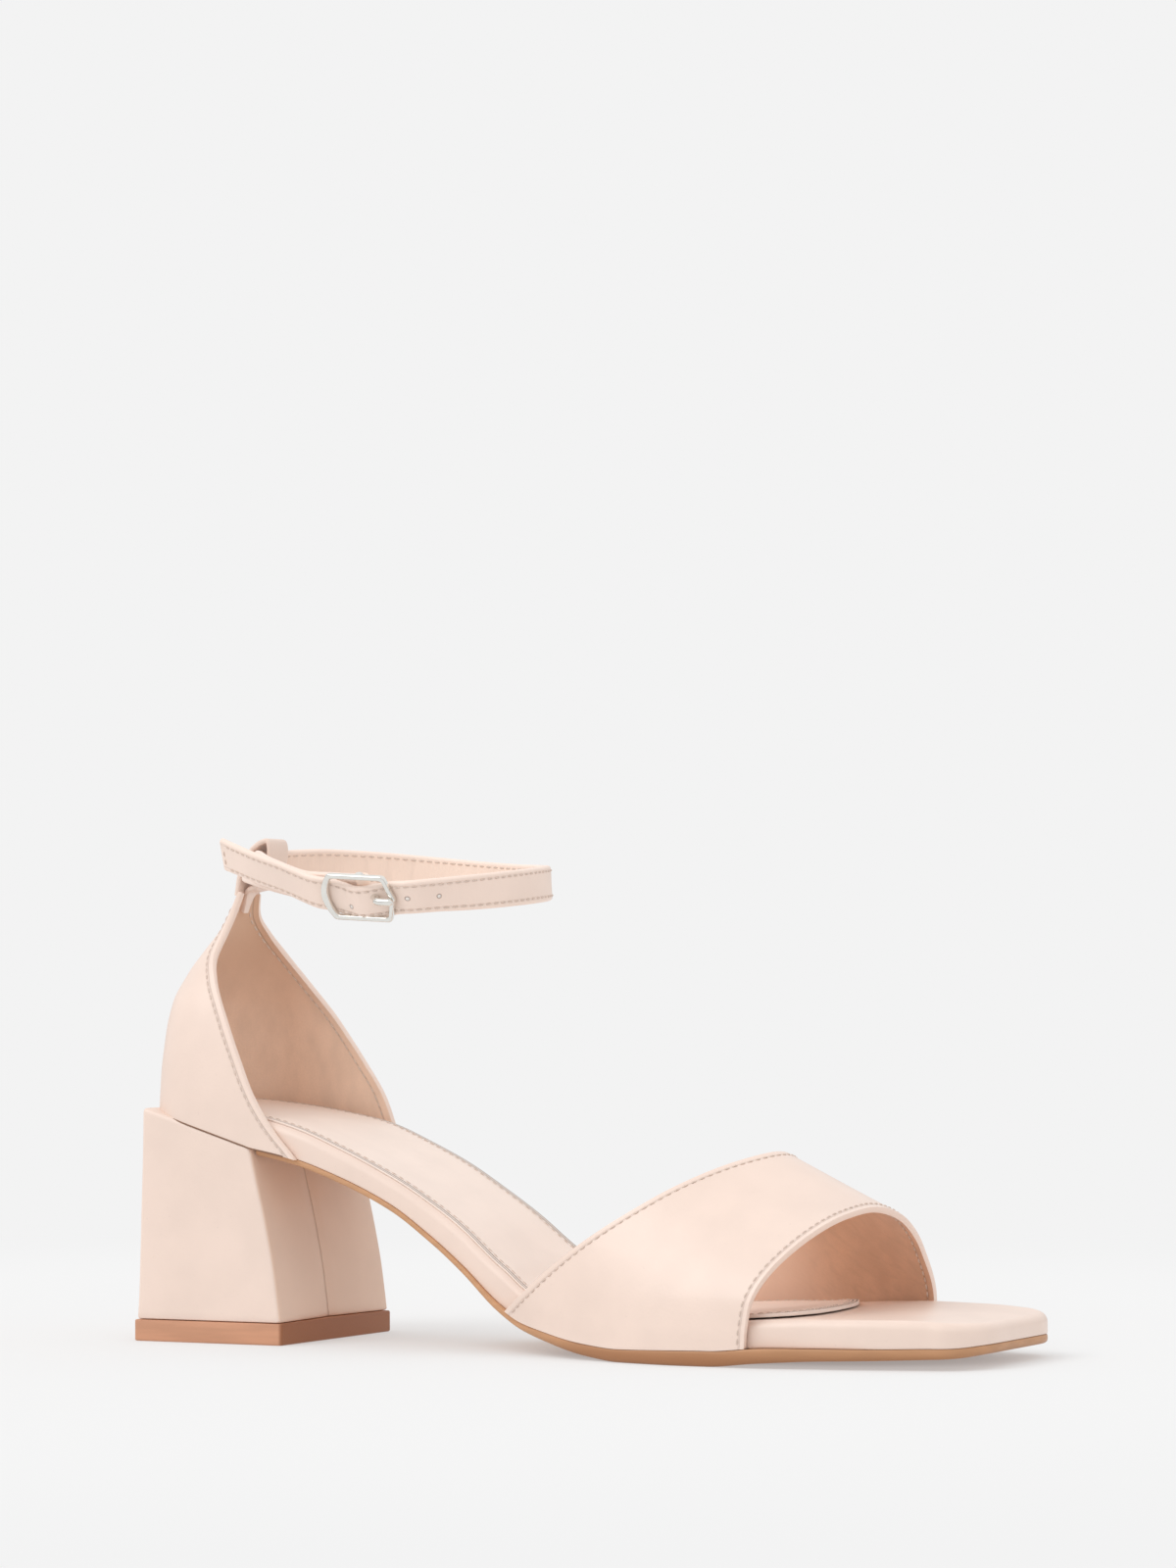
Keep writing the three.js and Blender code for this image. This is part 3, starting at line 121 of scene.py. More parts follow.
# rise, half, back, round, lateral, medial, square
COUNTER_LEVELS = [
    (0, 0.5, -0.016, 0.365, 0.88, 0.9, 3), (0.085, 0.499, -0.037, 0.365, 0.755, 0.86, 2.5),
    (0.2, 0.49, -0.041, 0.365, 0.64, 0.805, 2.35), (0.34, 0.465, -0.041, 0.37, 0.54, 0.695, 2.2),
    (0.49, 0.418, -0.022, 0.35, 0.436, 0.572, 2.1), (0.63, 0.342, 0.04, 0.3, 0.336, 0.452, 2),
    (0.74, 0.27, 0.12, 0.24, 0.284, 0.37, 2), (0.83, 0.194, 0.192, 0.16, 0.281, 0.322, 2),
    (0.91, 0.134, 0.238, 0.09, 0.293, 0.297, 2), (1, 0.103, 0.282, 0.06, 0.315, 0.315, 2),
]
# way, backAt, back, backUp, frontAt, front, frontUp
BAND_ARCH = [
    (0, 0.464, -0.352, 0.236, 0.769, -0.512, 0.1), (0.07, 0.492, -0.392, 0.325, 0.7715, -0.521, 0.2),
    (0.15, 0.53, -0.416, 0.455, 0.7765, -0.512, 0.335), (0.23, 0.57, -0.412, 0.585, 0.788, -0.462, 0.46),
    (0.31, 0.612, -0.37, 0.715, 0.8045, -0.378, 0.575), (0.39, 0.655, -0.285, 0.845, 0.82, -0.27, 0.665),
    (0.46, 0.695, -0.17, 0.945, 0.83, -0.15, 0.715), (0.53, 0.724, 0, 1, 0.838, 0, 0.735),
    (0.61, 0.715, 0.17, 0.955, 0.843, 0.15, 0.69), (0.69, 0.685, 0.285, 0.85, 0.844, 0.265, 0.595),
    (0.77, 0.64, 0.355, 0.71, 0.842, 0.355, 0.475), (0.85, 0.59, 0.375, 0.55, 0.839, 0.435, 0.345),
    (0.93, 0.54, 0.36, 0.38, 0.836, 0.472, 0.23), (1, 0.498, 0.308, 0.17, 0.833, 0.474, 0.12),
]
# along, across, drop, lean
STRAP_FREE_END = [
    (0.05, -0.4, -0.25, 21), (0.125, -0.445, -0.06, 24), (0.2, -0.482, 0.14, 26), (0.324, -0.53, 0.44, 28),
]
STRAP_ROUND = [
    (0.862, -0.485, 0.93, 24), (0.935, -0.37, 0.86, 12), (0.985, -0.2, 0.76, 1), (1, 0, 0.65, -5),
    (0.968, 0.175, 0.57, -3), (0.882, 0.325, 0.52, 2), (0.745, 0.425, 0.45, 5), (0.585, 0.465, 0.33, 5),
    (0.405, 0.452, 0.17, 1), (0.245, 0.38, 0.03, -6), (0.113, 0.262, -0.05, -16), (0.02, 0.115, -0.03, -29),
    (0, 0, 0, -31), (0.02, -0.115, 0.01, -29), (0.1, -0.25, 0.1, -12), (0.195, -0.36, 0.27, 10),
    (0.3, -0.447, 0.46, 22),
]


# Curves through the tables
def column(rows, index):
    return [row[index] for row in rows]


def cubic(x, y, slope, clamped):
    """Curve through the places x, y with a slope at each of them."""

    def value(at):
        i = 0
        while i < len(x) - 2 and at > x[i + 1]:
            i += 1
        span = x[i + 1] - x[i]
        t = (at - x[i]) / span
        if clamped:
            t = min(max(t, 0), 1)
        rise = (y[i + 1] - y[i]) / span
        bend = (1 - t) * (slope[i] - rise) - t * (slope[i + 1] - rise)
        return y[i] + rise * span * t + t * (1 - t) * bend * span

    return value


def line(rows, index):
    """Smooth line through a column against the first one. It never passes beyond its rows."""
    x, y = column(rows, 0), column(rows, index)
    rise = [(y[i + 1] - y[i]) / (x[i + 1] - x[i]) for i in range(len(x) - 1)]
    slope = [rise[0]]
    for a, b in zip(rise, rise[1:]):
        slope.append(2 * a * b / (a + b) if a * b > 0 else 0)
    return cubic(x, y, slope + [rise[-1]], True)


def swing(rows, index):
    """Smooth curve through a column against the first one that may swing past its rows."""
    x, y = column(rows, 0), column(rows, index)
    ends = [(max(i - 1, 0), min(i + 1, len(x) - 1)) for i in range(len(x))]
    return cubic(x, y, [(y[b] - y[a]) / (x[b] - x[a]) for a, b in ends], False)


def smoothstep(value, low, high):
    t = min(max((value - low) / (high - low), 0), 1)
    return t * t * (3 - 2 * t)


def lerp(a, b, t):
    return a + (b - a) * t


def unit(vector):
    return vector / np.linalg.norm(vector)


def travelled(points):
    """Distance covered so far at each of a row of points, or down each column of a grid."""
    steps = np.linalg.norm(np.diff(points, axis=0), axis=-1)
    return np.concatenate([np.zeros_like(steps[:1]), np.cumsum(steps, axis=0)])


# Heights of the sole. Each takes a place along and across, so that any of them can shape a piece.
tread_line, outsole_line, footbed_line, drop_line = (line(SOLE_SIDE, i) for i in (1, 2, 3, 4))
heel_back, heel_breast = line(HEEL_SIDE, 1), line(HEEL_SIDE, 2)
plan_lines = {"lateral": line(SOLE_PLAN, 1), "medial": line(SOLE_PLAN, 2), "lip": line(SOLE_PLAN, 3)}


def tread_height(x, y=0.0):
    return HEEL_HEIGHT * tread_line(x / SOLE_LENGTH)


def outsole_top(x, y=0.0):
    return tread_height(x) + OUTSOLE_THICKNESS * outsole_line(x / SOLE_LENGTH)


def footbed_bottom(x, y=0.0):
    return outsole_top(x) + GAP


def footbed_top(x, y):
    medial, lateral = plan_lines["medial"](x / SOLE_LENGTH), plan_lines["lateral"](x / SOLE_LENGTH)
    share = min(max((medial - y / BALL_WIDTH) / (medial + lateral), 0), 1)
    thickness = footbed_line(x / SOLE_LENGTH) - drop_line(x / SOLE_LENGTH) * share
    return footbed_bottom(x) + FOOTBED_THICKNESS * thickness


def heel_rim(x):
    return HEEL_HEIGHT - HEEL_FALL * (x - HEEL_BASE_LENGTH * HEEL_SIDE[-1][1])


BREAST_TOP = HEEL_BASE_LENGTH * HEEL_SIDE[-2][2]
SEAT_INSET = COUNTER_WALL + GAP
FAR = 60.0  # distance to an edge where a surface has none


# Meshes
class Piece:
    """Grids of points in shoe millimetres that become one welded mesh.

    Two map layers go with it: places along the surface, and distances to two of its edges."""

    def __init__(self):
        self.points, self.faces, self.slots, self.uvs, self.edges = [], [], [], [], []

    def grid(self, rows, slot=0, closed=False, uv=None, edge=None):
        rows = np.asarray(rows, float)
        n, m = rows.shape[:2]
        start = len(self.points)
        self.points.extend(rows.reshape(-1, 3).tolist())
        places = (np.zeros((n, m, 2)) if uv is None else np.asarray(uv, float)).reshape(-1, 2)
        self.uvs.extend(places.tolist())
        near = (np.full((n, m, 2), FAR) if edge is None else np.asarray(edge, float)).reshape(-1, 2)
        self.edges.extend(near.tolist())
        for i in range(n - 1):
            for j in range(m if closed else m - 1):
                k = (j + 1) % m
                corners = (i, j), (i, k), (i + 1, k), (i + 1, j)
                self.faces.append([start + row * m + step for row, step in corners])
                self.slots.append(slot)

    def fan(self, ring, slot=0):
        start = len(self.points)
        self.points.extend(np.asarray(ring, float).tolist())
        self.uvs.extend([[0, 0]] * len(ring))
        self.edges.extend([[FAR, FAR]] * len(ring))
        self.faces.append(list(range(start, start + len(ring))))
        self.slots.append(slot)

    def build(self, name, materials, nodes=(), sharp=35, weld=2e-3):
        """Make the object, give it its name and materials, hide the solids it stands for and hang it on the
        root body.
        """
        mesh = bpy.data.meshes.new(name)
        points = (np.array(self.points) + [-HEEL_BASE_LENGTH / 2, 0, 0]) / 1000
        mesh.from_pydata(points.tolist(), [], self.faces)
        mesh.polygons.foreach_set("material_index", self.slots)
        corners = np.zeros(len(mesh.loops), int)
        mesh.loops.foreach_get("vertex_index", corners)
        for layer_name, places in (("Millimetres", self.uvs), ("Edges", self.edges)):
            layer = mesh.uv_layers.new(name=layer_name)
            layer.data.foreach_set("uv", np.array(places)[corners].ravel())
        work = bmesh.new()
        work.from_mesh(mesh)
        bmesh.ops.remove_doubles(work, verts=work.verts, dist=weld / 1000)
        bmesh.ops.dissolve_degenerate(work, edges=work.edges, dist=1e-7)
        bmesh.ops.recalc_face_normals(work, faces=work.faces)
        work.to_mesh(mesh)
        work.free()
        mesh.polygons.foreach_set("use_smooth", [True] * len(mesh.polygons))
        mesh.set_sharp_from_angle(angle=math.radians(sharp))
        made = bpy.data.objects.new(name, mesh)
        bpy.context.scene.collection.objects.link(made)
        for material in materials:
            mesh.materials.append(material)
        if nodes:
            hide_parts(*nodes)
        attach(made, "root")


# Outline of the footbed and its rounded seat
counter_lines = {
    name: line(COUNTER_LEVELS, i + 1)
    for i, name in enumerate(["half", "back", "round", "lateral", "medial", "square"])
}


def seat_point(turn, inset):
    rise, half, back, depth, _, _, square = COUNTER_LEVELS[0]
    angle = turn * math.pi / 2
    power = 2 / square
    radius = SEAT_WIDTH * depth - inset
    x = SEAT_WIDTH * back + inset + radius * (1 - math.cos(angle) ** power)
    return x, (SEAT_WIDTH * half - inset) * math.sin(angle) ** power


def toe_side(side, start, widen, count, turns=14):
    """Outline from a starting length to the toe's end, moved outward by widen(x)."""
    corner_start = SOLE_LENGTH - TOE_CORNER
    points = []
    for i in range(count):
        x = start + (corner_start - start) * i / count
        points.append((x, BALL_WIDTH * plan_lines[side](x / SOLE_LENGTH) + widen(x)))
    corner = BALL_WIDTH * plan_lines[side](corner_start / SOLE_LENGTH) - TOE_ROUND
    out = widen(corner_start)
    for i in range(turns + 1):
        angle = i / turns * math.pi / 2
        ahead, aside = (TOE_CORNER + out) * math.sin(angle), (TOE_ROUND + out) * math.cos(angle)
        points.append((corner_start + ahead, corner + aside))
    return points


# Shares of the quarter turn round the seat, closer together at the back
SEAT_TURNS = [
    0.004, 0.02, 0.045, 0.08, 0.12, 0.16, 0.2, 0.25, 0.3, 0.35, 0.4,
    0.45, 0.5, 0.55, 0.6, 0.66, 0.72, 0.79, 0.86, 0.93, 1,
]


def seat_side(side, inset, widen, count):
    round_part = [seat_point(turn, inset) for turn in SEAT_TURNS]
    end = round_part[-1][0]
    return round_part + toe_side(side, end + 3, widen, count)


def resample(points, count):
    points = np.asarray(points, float)
    steps = travelled(points)
    at = np.linspace(0, steps[-1], count)
    return np.stack([np.interp(at, steps, points[:, i]) for i in range(points.shape[1])], 1)


def outline_distance(points, outline):
    """Distance in plan from each point to a closed outline."""
    a = np.asarray(outline, float)[:, :2]
    along = np.roll(a, -1, 0) - a
    away = np.asarray(points, float)[..., None, :2] - a
    share = np.clip((away * along).sum(-1) / np.maximum((along ** 2).sum(-1), 1e-12), 0, 1)
    return np.linalg.norm(away - share[..., None] * along, axis=-1).min(-1)


def plate(piece, lateral, medial, profile, top, across=16, slots=(0, 0, 0), bottom=None):
    """Closed flat piece over a paired outline. profile gives steps of (inset, height(x, y)) from below."""
    lateral = [(x, -y) for x, y in lateral]
    front = [tuple(lerp(np.array(lateral[-1]), np.array(medial[-1]), k / across)) for k in range(1, across)]
    back = [tuple(lerp(np.array(medial[0]), np.array(lateral[0]), k / across)) for k in range(1, across)]
    loop = np.array(lateral + front + medial[::-1] + back, float)
    ahead, behind = np.roll(loop, -1, 0), np.roll(loop, 1, 0)
    a = ahead - loop
    b = loop - behind
    a /= np.maximum(np.linalg.norm(a, axis=1), 1e-9)[:, None]
    b /= np.maximum(np.linalg.norm(b, axis=1), 1e-9)[:, None]
    along = a + b
    along /= np.linalg.norm(along, axis=1)[:, None]
    normal = np.stack([along[:, 1], -along[:, 0]], 1)
    rings = []
    for inset, height in profile:
        ring = []
        for (x, y), (nx, ny) in zip(loop, normal):
            px, py = x - nx * inset, y - ny * inset
            ring.append((px, py, height(px, py)))
        rings.append(ring)
    piece.grid(rings, slots[1], closed=True)
    n = len(lateral)
    medial_start = 2 * n + across - 2
    for ring, face_height, slot in ((rings[-1], top, slots[0]), (rings[0], bottom, slots[2])):
        rows = []
        for i in range(n):
            if i == 0:
                row = [ring[-k] for k in range(across)] + [ring[medial_start]]
            elif i == n - 1:
                row = [ring[n - 1 + k] for k in range(across + 1)]
            else:
                a, b = np.array(ring[i]), np.array(ring[medial_start - i])
                row = []
                for k in range(across + 1):
                    t = k / across
                    point = lerp(a, b, t)
                    if 0 < k < across and face_height is not None:
                        point[2] = face_height(point[0], point[1])
                    row.append(tuple(point))
            rows.append(row)
        rows = np.array(rows, float)
        near = outline_distance(rows, ring)
        piece.grid(rows, slot, edge=np.stack([near, near], 2))


def rounded(radius, turns, top):
    """Profile steps of a rounded upper edge."""
    steps = []
    for i in range(turns + 1):
        angle = i / turns * math.pi / 2
        inset = radius * (1 - math.cos(angle))
        drop = radius * (1 - math.sin(angle))
        steps.append((inset, lambda x, y, drop=drop: top(x, y) - drop))
    return steps


# Materials
class Graph:
    """A node material under construction, with its places in millimetres, its colour and its height."""

    def __init__(self, name, colour=None, **uniform):
        self.material = bpy.data.materials.new(name)
        self.material.use_nodes = True
        self.tree = self.material.node_tree
        self.shader = self.tree.nodes["Principled BSDF"]
        for socket, value in uniform.items():
            self.shader.inputs[socket.replace("_", " ")].default_value = value
        self.place = self.scaled(self.add("ShaderNodeTexCoord").outputs["Object"], (1000, 1000, 1000))
        self.base = colour
        self.height = 0.0

    def add(self, kind, inputs=None, **settings):
        node = self.tree.nodes.new(kind)
        for key, value in settings.items():
            setattr(node, key, value)
        for key, value in (inputs or {}).items():
            if isinstance(value, bpy.types.NodeSocket):
                self.tree.links.new(value, node.inputs[key])
            else:
                node.inputs[key].default_value = value
        return node

    def scaled(self, vector, by):
        return self.add("ShaderNodeVectorMath", {0: vector, 1: by}, operation="MULTIPLY").outputs[0]

    def length(self, vector):
        return self.add("ShaderNodeVectorMath", {0: vector}, operation="LENGTH").outputs["Value"]

    def math(self, operation, a, b=0.0):
        return self.add("ShaderNodeMath", {0: a, 1: b}, operation=operation).outputs[0]

    def times(self, a, b):
        return self.math("MULTIPLY", a, b)

    def away(self, value, middle):
        return self.math("ABSOLUTE", self.math("SUBTRACT", value, middle))

    def noise(self, size, detail=2.0, stretch=(1, 1, 1), vector=None):
        """Noise from 0 to 1 whose features are about a size in millimetres."""
        vector = self.scaled(vector or self.place, tuple(part / size for part in stretch))
        return self.add("ShaderNodeTexNoise", {"Vector": vector, "Scale": 1.0, "Detail": detail}).outputs[0]

    def cells(self, size):
        inputs = {"Vector": self.scaled(self.place, (1 / size,) * 3), "Scale": 1.0}
        return self.add("ShaderNodeTexVoronoi", inputs, feature="SMOOTH_F1").outputs[0]

    def remap(self, value, low, high, to_low=0.0, to_high=1.0):
        inputs = {"Value": value, "From Min": low, "From Max": high, "To Min": to_low, "To Max": to_high}
        return self.add("ShaderNodeMapRange", inputs, interpolation_type="SMOOTHSTEP").outputs[0]

    def near(self, distance, at, half):
        """1 on a line at a distance, falling to 0 half a width away."""
        return self.remap(self.away(distance, at), 0.0, half, 1.0, 0.0)

    def map(self, name):
        return self.add("ShaderNodeUVMap", uv_map=name).outputs[0]

    def split(self, vector):
        return self.add("ShaderNodeSeparateXYZ", {0: vector}).outputs

    def sum(self, *terms):
        total = terms[0]
        for term in terms[1:]:
            total = self.math("ADD", total, term)
        return total

    def blend(self, share, a, b):
        return self.add("ShaderNodeMix", {0: share, 6: a, 7: b}, data_type="RGBA").outputs[2]

    def vary(self, value, low, high):
        """Start the colour between two tints of the base."""
        self.colour = self.blend(self.remap(value, 0.3, 0.7), tint(self.base, low), tint(self.base, high))

    def paint(self, share, colour):
        self.colour = self.blend(share, self.colour, colour)

    def lift(self, value, by):
        self.height = self.sum(self.height, self.times(value, by))

    def painted_shade_groove(self, distance, at, half, depth, painted_shade):
        line_share = self.near(distance, at, half)
        self.lift(line_share, -depth)
        # the groove's line is painted darker: painted shade in the groove
        self.paint(self.times(line_share, painted_shade), tint(self.base, 0.36))

    def crease(self, size, stretch, depth, low, share, painted_shade):
        """Folds that lie with the piece's own map. Their bottoms are painted darker, as painted shade in the
        folds.
        """
        folds = self.noise(size, 3, stretch, self.map("Millimetres"))
        self.lift(folds, depth)
        self.paint(self.remap(folds, 0.5, low, 0.0, share), tint(self.base, painted_shade))

    def fade(self, axis, clear, full, colour):
        """Turn the colour into another one between two places along an axis."""
        self.paint(self.remap(self.split(self.place)[axis], clear, full), colour + (1.0,))

    def finish(self, roughness):
        """Join the colour, a roughness and the height in millimetres to the shader."""
        relief = {"Strength": 1.0, "Distance": 0.001, "Height": self.height}
        bump = self.add("ShaderNodeBump", relief).outputs[0]
        for name, value in (("Base Color", self.colour), ("Roughness", roughness), ("Normal", bump)):
            self.tree.links.new(value, self.shader.inputs[name])
        return self.material


def tint(colour, by):
    return tuple(part * by for part in colour) + (1.0,)


HOLE_LINER = (0.86, 0.84, 0.8, 1.0)
HOLE_RIM = (0.4, 0.28, 0.22, 1.0)


def leather(
    name, colour, rough=0.42, grain=0.012, swell=0.05, coat=0.12, lines=(), rims=(), creased=False, holes=(),
):
    """Grained leather. lines are grooves with painted shade in them, and rims raised borders that are also
    painted a little lighter as a painted highlight, both by their distance from an edge.
    """
    graph = Graph(name, colour, Coat_Weight=coat, Coat_Roughness=0.35, Specular_IOR_Level=0.45)
    edges, places = (graph.split(graph.map(layer)) for layer in ("Edges", "Millimetres"))
    pores = graph.noise(0.9, 4)
    graph.vary(graph.noise(16, 3), 0.97, 1.02)
    graph.paint(graph.remap(pores, 0.35, 0.2), tint(colour, 0.93))
    graph.lift(graph.cells(0.55), grain)
    graph.lift(pores, grain)
    graph.lift(graph.noise(7, 2), swell)
    if creased:
        graph.crease(3.2, (1, 0.22, 0.35), 0.25, 0.25, 0.5, 0.86)
    for axis, *shape in lines:
        graph.painted_shade_groove(edges[axis], *shape)
    for axis, width, height in rims:
        raised = graph.remap(edges[axis], width - 0.35, width + 0.35, 1.0, 0.0)
        graph.lift(raised, height)
        # the raised border is painted a little lighter: a painted highlight on its edge
        graph.paint(graph.times(raised, 0.5), tint(colour, 1.05))
    for hole in holes:
        squares = [graph.math("POWER", graph.away(*pair), 2.0) for pair in zip(places, hole)]
        reach = graph.math("SQRT", graph.sum(*squares))
        inside = graph.remap(reach, 0.4, 0.58, 1.0, 0.0)
        graph.lift(inside, -0.4)
        graph.paint(graph.times(inside, 0.75), HOLE_LINER)
        graph.paint(graph.times(graph.near(reach, 0.62, 0.22), 0.55), HOLE_RIM)
    worn = graph.remap(graph.noise(28, 5), 0.62, 0.8, 0.0, 0.07)
    return graph.finish(graph.sum(graph.times(pores, 0.1), worn, rough - 0.05))


def suede(name, colour, fade, seams, nap=0.03, creased=False):
    """Matt lining with a short nap or fine creases whose bottoms get painted shade. seams are grooves with
    painted shade, by their distance from an edge; fade paints light or shade along an axis.
    """
    graph = Graph(name, colour, Specular_IOR_Level=0.2, Sheen_Weight=0.25, Sheen_Roughness=0.5)
    fine = graph.noise(0.45, 4)
    graph.vary(graph.noise(6, 4, (1, 1, 0.4)), 0.93, 1.05)
    graph.paint(graph.remap(fine, 0.3, 0.7, 0.0, 0.25), tint(colour, 0.85))
    graph.lift(fine, nap)
    if creased:
        graph.crease(2.6, (1, 0.3, 1), 0.2, 0.3, 0.45, 0.84)
    graph.fade(*fade)
    edges = graph.split(graph.map("Edges"))
    for axis, at in seams:
        graph.painted_shade_groove(edges[axis], at, 0.5, 0.15, 0.35)
    return graph.finish(graph.remap(fine, 0.2, 0.8, 0.75, 0.9))


def rubber(name, colour, rough, ribs=0.0, fade=None):
    """Moulded rubber with a fine matt skin and faint flow lines. fade, when given, paints it darker along an
    axis as painted shade.
    """
    graph = Graph(name, colour, Specular_IOR_Level=0.4)
    fine, flow = graph.noise(0.5, 4), graph.noise(5, 3, (0.25, 1, 3))
    graph.vary(flow, 0.92, 1.06)
    graph.paint(graph.remap(fine, 0.35, 0.15, 0.0, 0.5), tint(colour, 0.8))
    if fade:
        graph.fade(*fade)
    graph.lift(fine, 0.02)
    graph.lift(flow, ribs)
    return graph.finish(graph.remap(fine, 0.2, 0.8, rough - 0.06, rough + 0.06))


def polished(name, colour, rough):
    """Plated metal with faint polishing marks."""
    graph = Graph(name, colour, Metallic=1.0)
    haze = graph.noise(2.5, 3)
    graph.vary(haze, 0.95, 1.0)
    graph.lift(graph.noise(0.25, 3, (0.05, 1, 1)), 0.0015)
    return graph.finish(graph.sum(graph.times(haze, 0.06), rough))


def spun(name, colour):
    """Twisted thread."""
    graph = Graph(name, colour, Specular_IOR_Level=0.35)
    twist = graph.noise(0.22, 2)
    graph.vary(twist, 0.8, 1.08)
    graph.lift(twist, 0.06)
    return graph.finish(graph.remap(twist, 0.2, 0.8, 0.6, 0.8))


NUDE = (0.875, 0.70, 0.605)
STRAP_NUDE = (0.935, 0.755, 0.655)
STITCH_IN = 2.5  # stitches from the counter's edges
BAND_STITCH_IN = 1.8  # stitches from the band's edges
SOCK_STITCH_IN = 2.5
STRAP_STITCH_IN = 1.35
STRAP_HOLES = ((-2.7, -1.3), (13.8, 0), (21.5, 0))  # along the strap from the buckle's bar, and across
TIP_FRONT = HEEL_BASE_LENGTH / 2
# lines: axis, distance, half width, depth, darkness of the painted shade in the groove
# rims: axis, width, height; each rim is also painted a little lighter, a painted highlight
# fades: axis, start, end, colour; each fade below is painted light or shade, on the tip partly also scuffs
upper = leather(
    "counter_leather", NUDE,
    lines=((0, 1.9, 0.4, 0.14, 0.12), (0, STITCH_IN, 0.4, 0.12, 0.1)), rims=((0, 1.7, 0.1),),
)
band_skin = leather(
    "band_leather", NUDE, 0.38, 0.018, 0.06, 0.2,
    lines=((0, BAND_STITCH_IN, 0.4, 0.13, 0.08), (1, 1.35, 0.4, 0.15, 0.15)),
    rims=((0, 1.2, 0.06), (1, 1.2, 0.12)),
)
loop_skin = leather("loop_leather", tuple(part * 0.97 for part in NUDE), grain=0.02)
wrap = leather("wrap_leather", NUDE, rough=0.4, swell=0.04)
# the heel's breast gets a darker, warmer copy of the heel leather: painted shade under the arch; its line is
# the centre seam, a groove with painted shade
breast_painted_shade_skin = leather("breast_leather_painted_shade", (0.865, 0.655, 0.53), rough=0.45, lines=((0, 0.0, 0.5, 0.3, 0.22),))
# seam_shade is a thin dark tube, made with the rubber maker, that stands for the shadow in the gap between
# the counter's foot and the block: a painted shadow
seam_shade = rubber("seam_shade", (0.25, 0.14, 0.09), 0.8)
footbed_skin = leather("footbed_leather", NUDE, rough=0.38)
# the sock's first two lines are dark bands just inside its edge: painted shadow of the gap where the sock's
# edge lies over the footbed; the third is the stitch row's groove
sock_leather = leather(
    "sock_leather", (0.92, 0.775, 0.69), rough=0.55, coat=0.0,
    lines=((0, 0.1, 0.6, 0.3, 1.0), (0, 1.25, 0.42, 0.25, 0.95), (0, SOCK_STITCH_IN, 0.4, 0.12, 0.08)),
)
# the counter lining fades darker towards its top: painted shade inside the narrow top of the heel under the
# strap
counter_lining = suede(
    "counter_lining", (0.90, 0.675, 0.53), fade=(2, 76, 112, (0.69, 0.45, 0.315)),
    seams=((0, STITCH_IN),), nap=0.05,
)
# the band lining's darker brown base is painted shade inside the band, and its fade to a lighter pink towards
# the back is painted light falling in through the back opening
band_lining = suede(
    "band_lining", (0.75, 0.47, 0.32), fade=(0, 156, 132, (0.93, 0.68, 0.54)),
    seams=((0, BAND_STITCH_IN), (1, BAND_STITCH_IN)), creased=True,
)
strap_lining = leather("strap_lining", (0.95, 0.75, 0.63), rough=0.55, coat=0.0, creased=True)
# the outsole fades darker towards its bottom: painted shade on the lower edge, which faces the floor
sole_rubber = rubber("outsole_rubber", (0.6, 0.325, 0.17), 0.45, 0.12, (2, 7, 1, (0.38, 0.172, 0.077)))
# the heel tip fades darker on its front face: painted shade under the arch, partly also real scuffs
tip_rubber = rubber(
    "tip_rubber", (0.6, 0.3, 0.18), 0.5, 0.02, (0, TIP_FRONT - 0.8, TIP_FRONT + 0.1, (0.345, 0.14, 0.068)),
)
metal = polished("buckle_metal", (0.82, 0.81, 0.77), 0.08)
thread = spun("thread", (0.76, 0.61, 0.52))


# Stitches
def stitches(name, path, normals, slot, pitch=2.3, length=1.55, width=0.5, lift=0.14):
    """Row of stitches along a path on a surface: each one a thin bead whose ends dip into the leather."""
    path, normals = np.asarray(path, float), np.asarray(normals, float)
    arc = travelled(path)

    def at(distance):
        place = np.array([np.interp(distance, arc, path[:, k]) for k in range(3)])
        normal = np.array([np.interp(distance, arc, normals[:, k]) for k in range(3)])
        return place, normal / np.linalg.norm(normal)

    piece = Piece()
    for number in range(int((arc[-1] - length) / pitch) + 1):
        start = 0.4 + number * pitch
        rings = []
        for step in np.linspace(0, 1, 7):
            place, normal = at(start + length * step)
            ahead, behind = at(start + length * step + 0.2)[0], at(start + length * step - 0.2)[0]
            side = unit(np.cross(unit(ahead - behind), normal))
            swell = math.sin(math.pi * (0.06 + 0.88 * step)) ** 0.5
            middle = place + normal * lift * (swell * 1.6 - 0.9)
            rings.append([
                middle + side * math.cos(a) * width / 2 * swell + normal * math.sin(a) * width * 0.36 * swell
                for a in np.linspace(0, 2 * math.pi, 8, endpoint=False)
            ])
        piece.grid(rings, closed=True)
        piece.fan(rings[0])
        piece.fan(rings[-1])
    piece.build(name, [thread], sharp=80, weld=1e-4)


def inset_path(outer, inward, wall, axis, far_side, distance, face, low=0.0, high=1.0):
    """Line at a distance from one edge of a shell's grid, on one of its faces, with outward normals."""
    surface = outer if face > 0 else outer + inward * wall
    grids = [surface, inward]
    if axis == 1:
        grids = [grid.transpose(1, 0, 2) for grid in grids]
    if far_side:
        grids = [grid[::-1] for grid in grids]
    places, ways = grids
    path, normals = [], []
    columns = places.shape[1]
    for j in range(int(low * (columns - 1)), int(high * (columns - 1)) + 1):
        arc = travelled(places[:, j])
        if arc[-1] < 2.5 * distance:
            continue
        path.append([np.interp(distance, arc, places[:, j, k]) for k in range(3)])
        normals.append([-face * np.interp(distance, arc, ways[:, j, k]) for k in range(3)])
    return path, normals


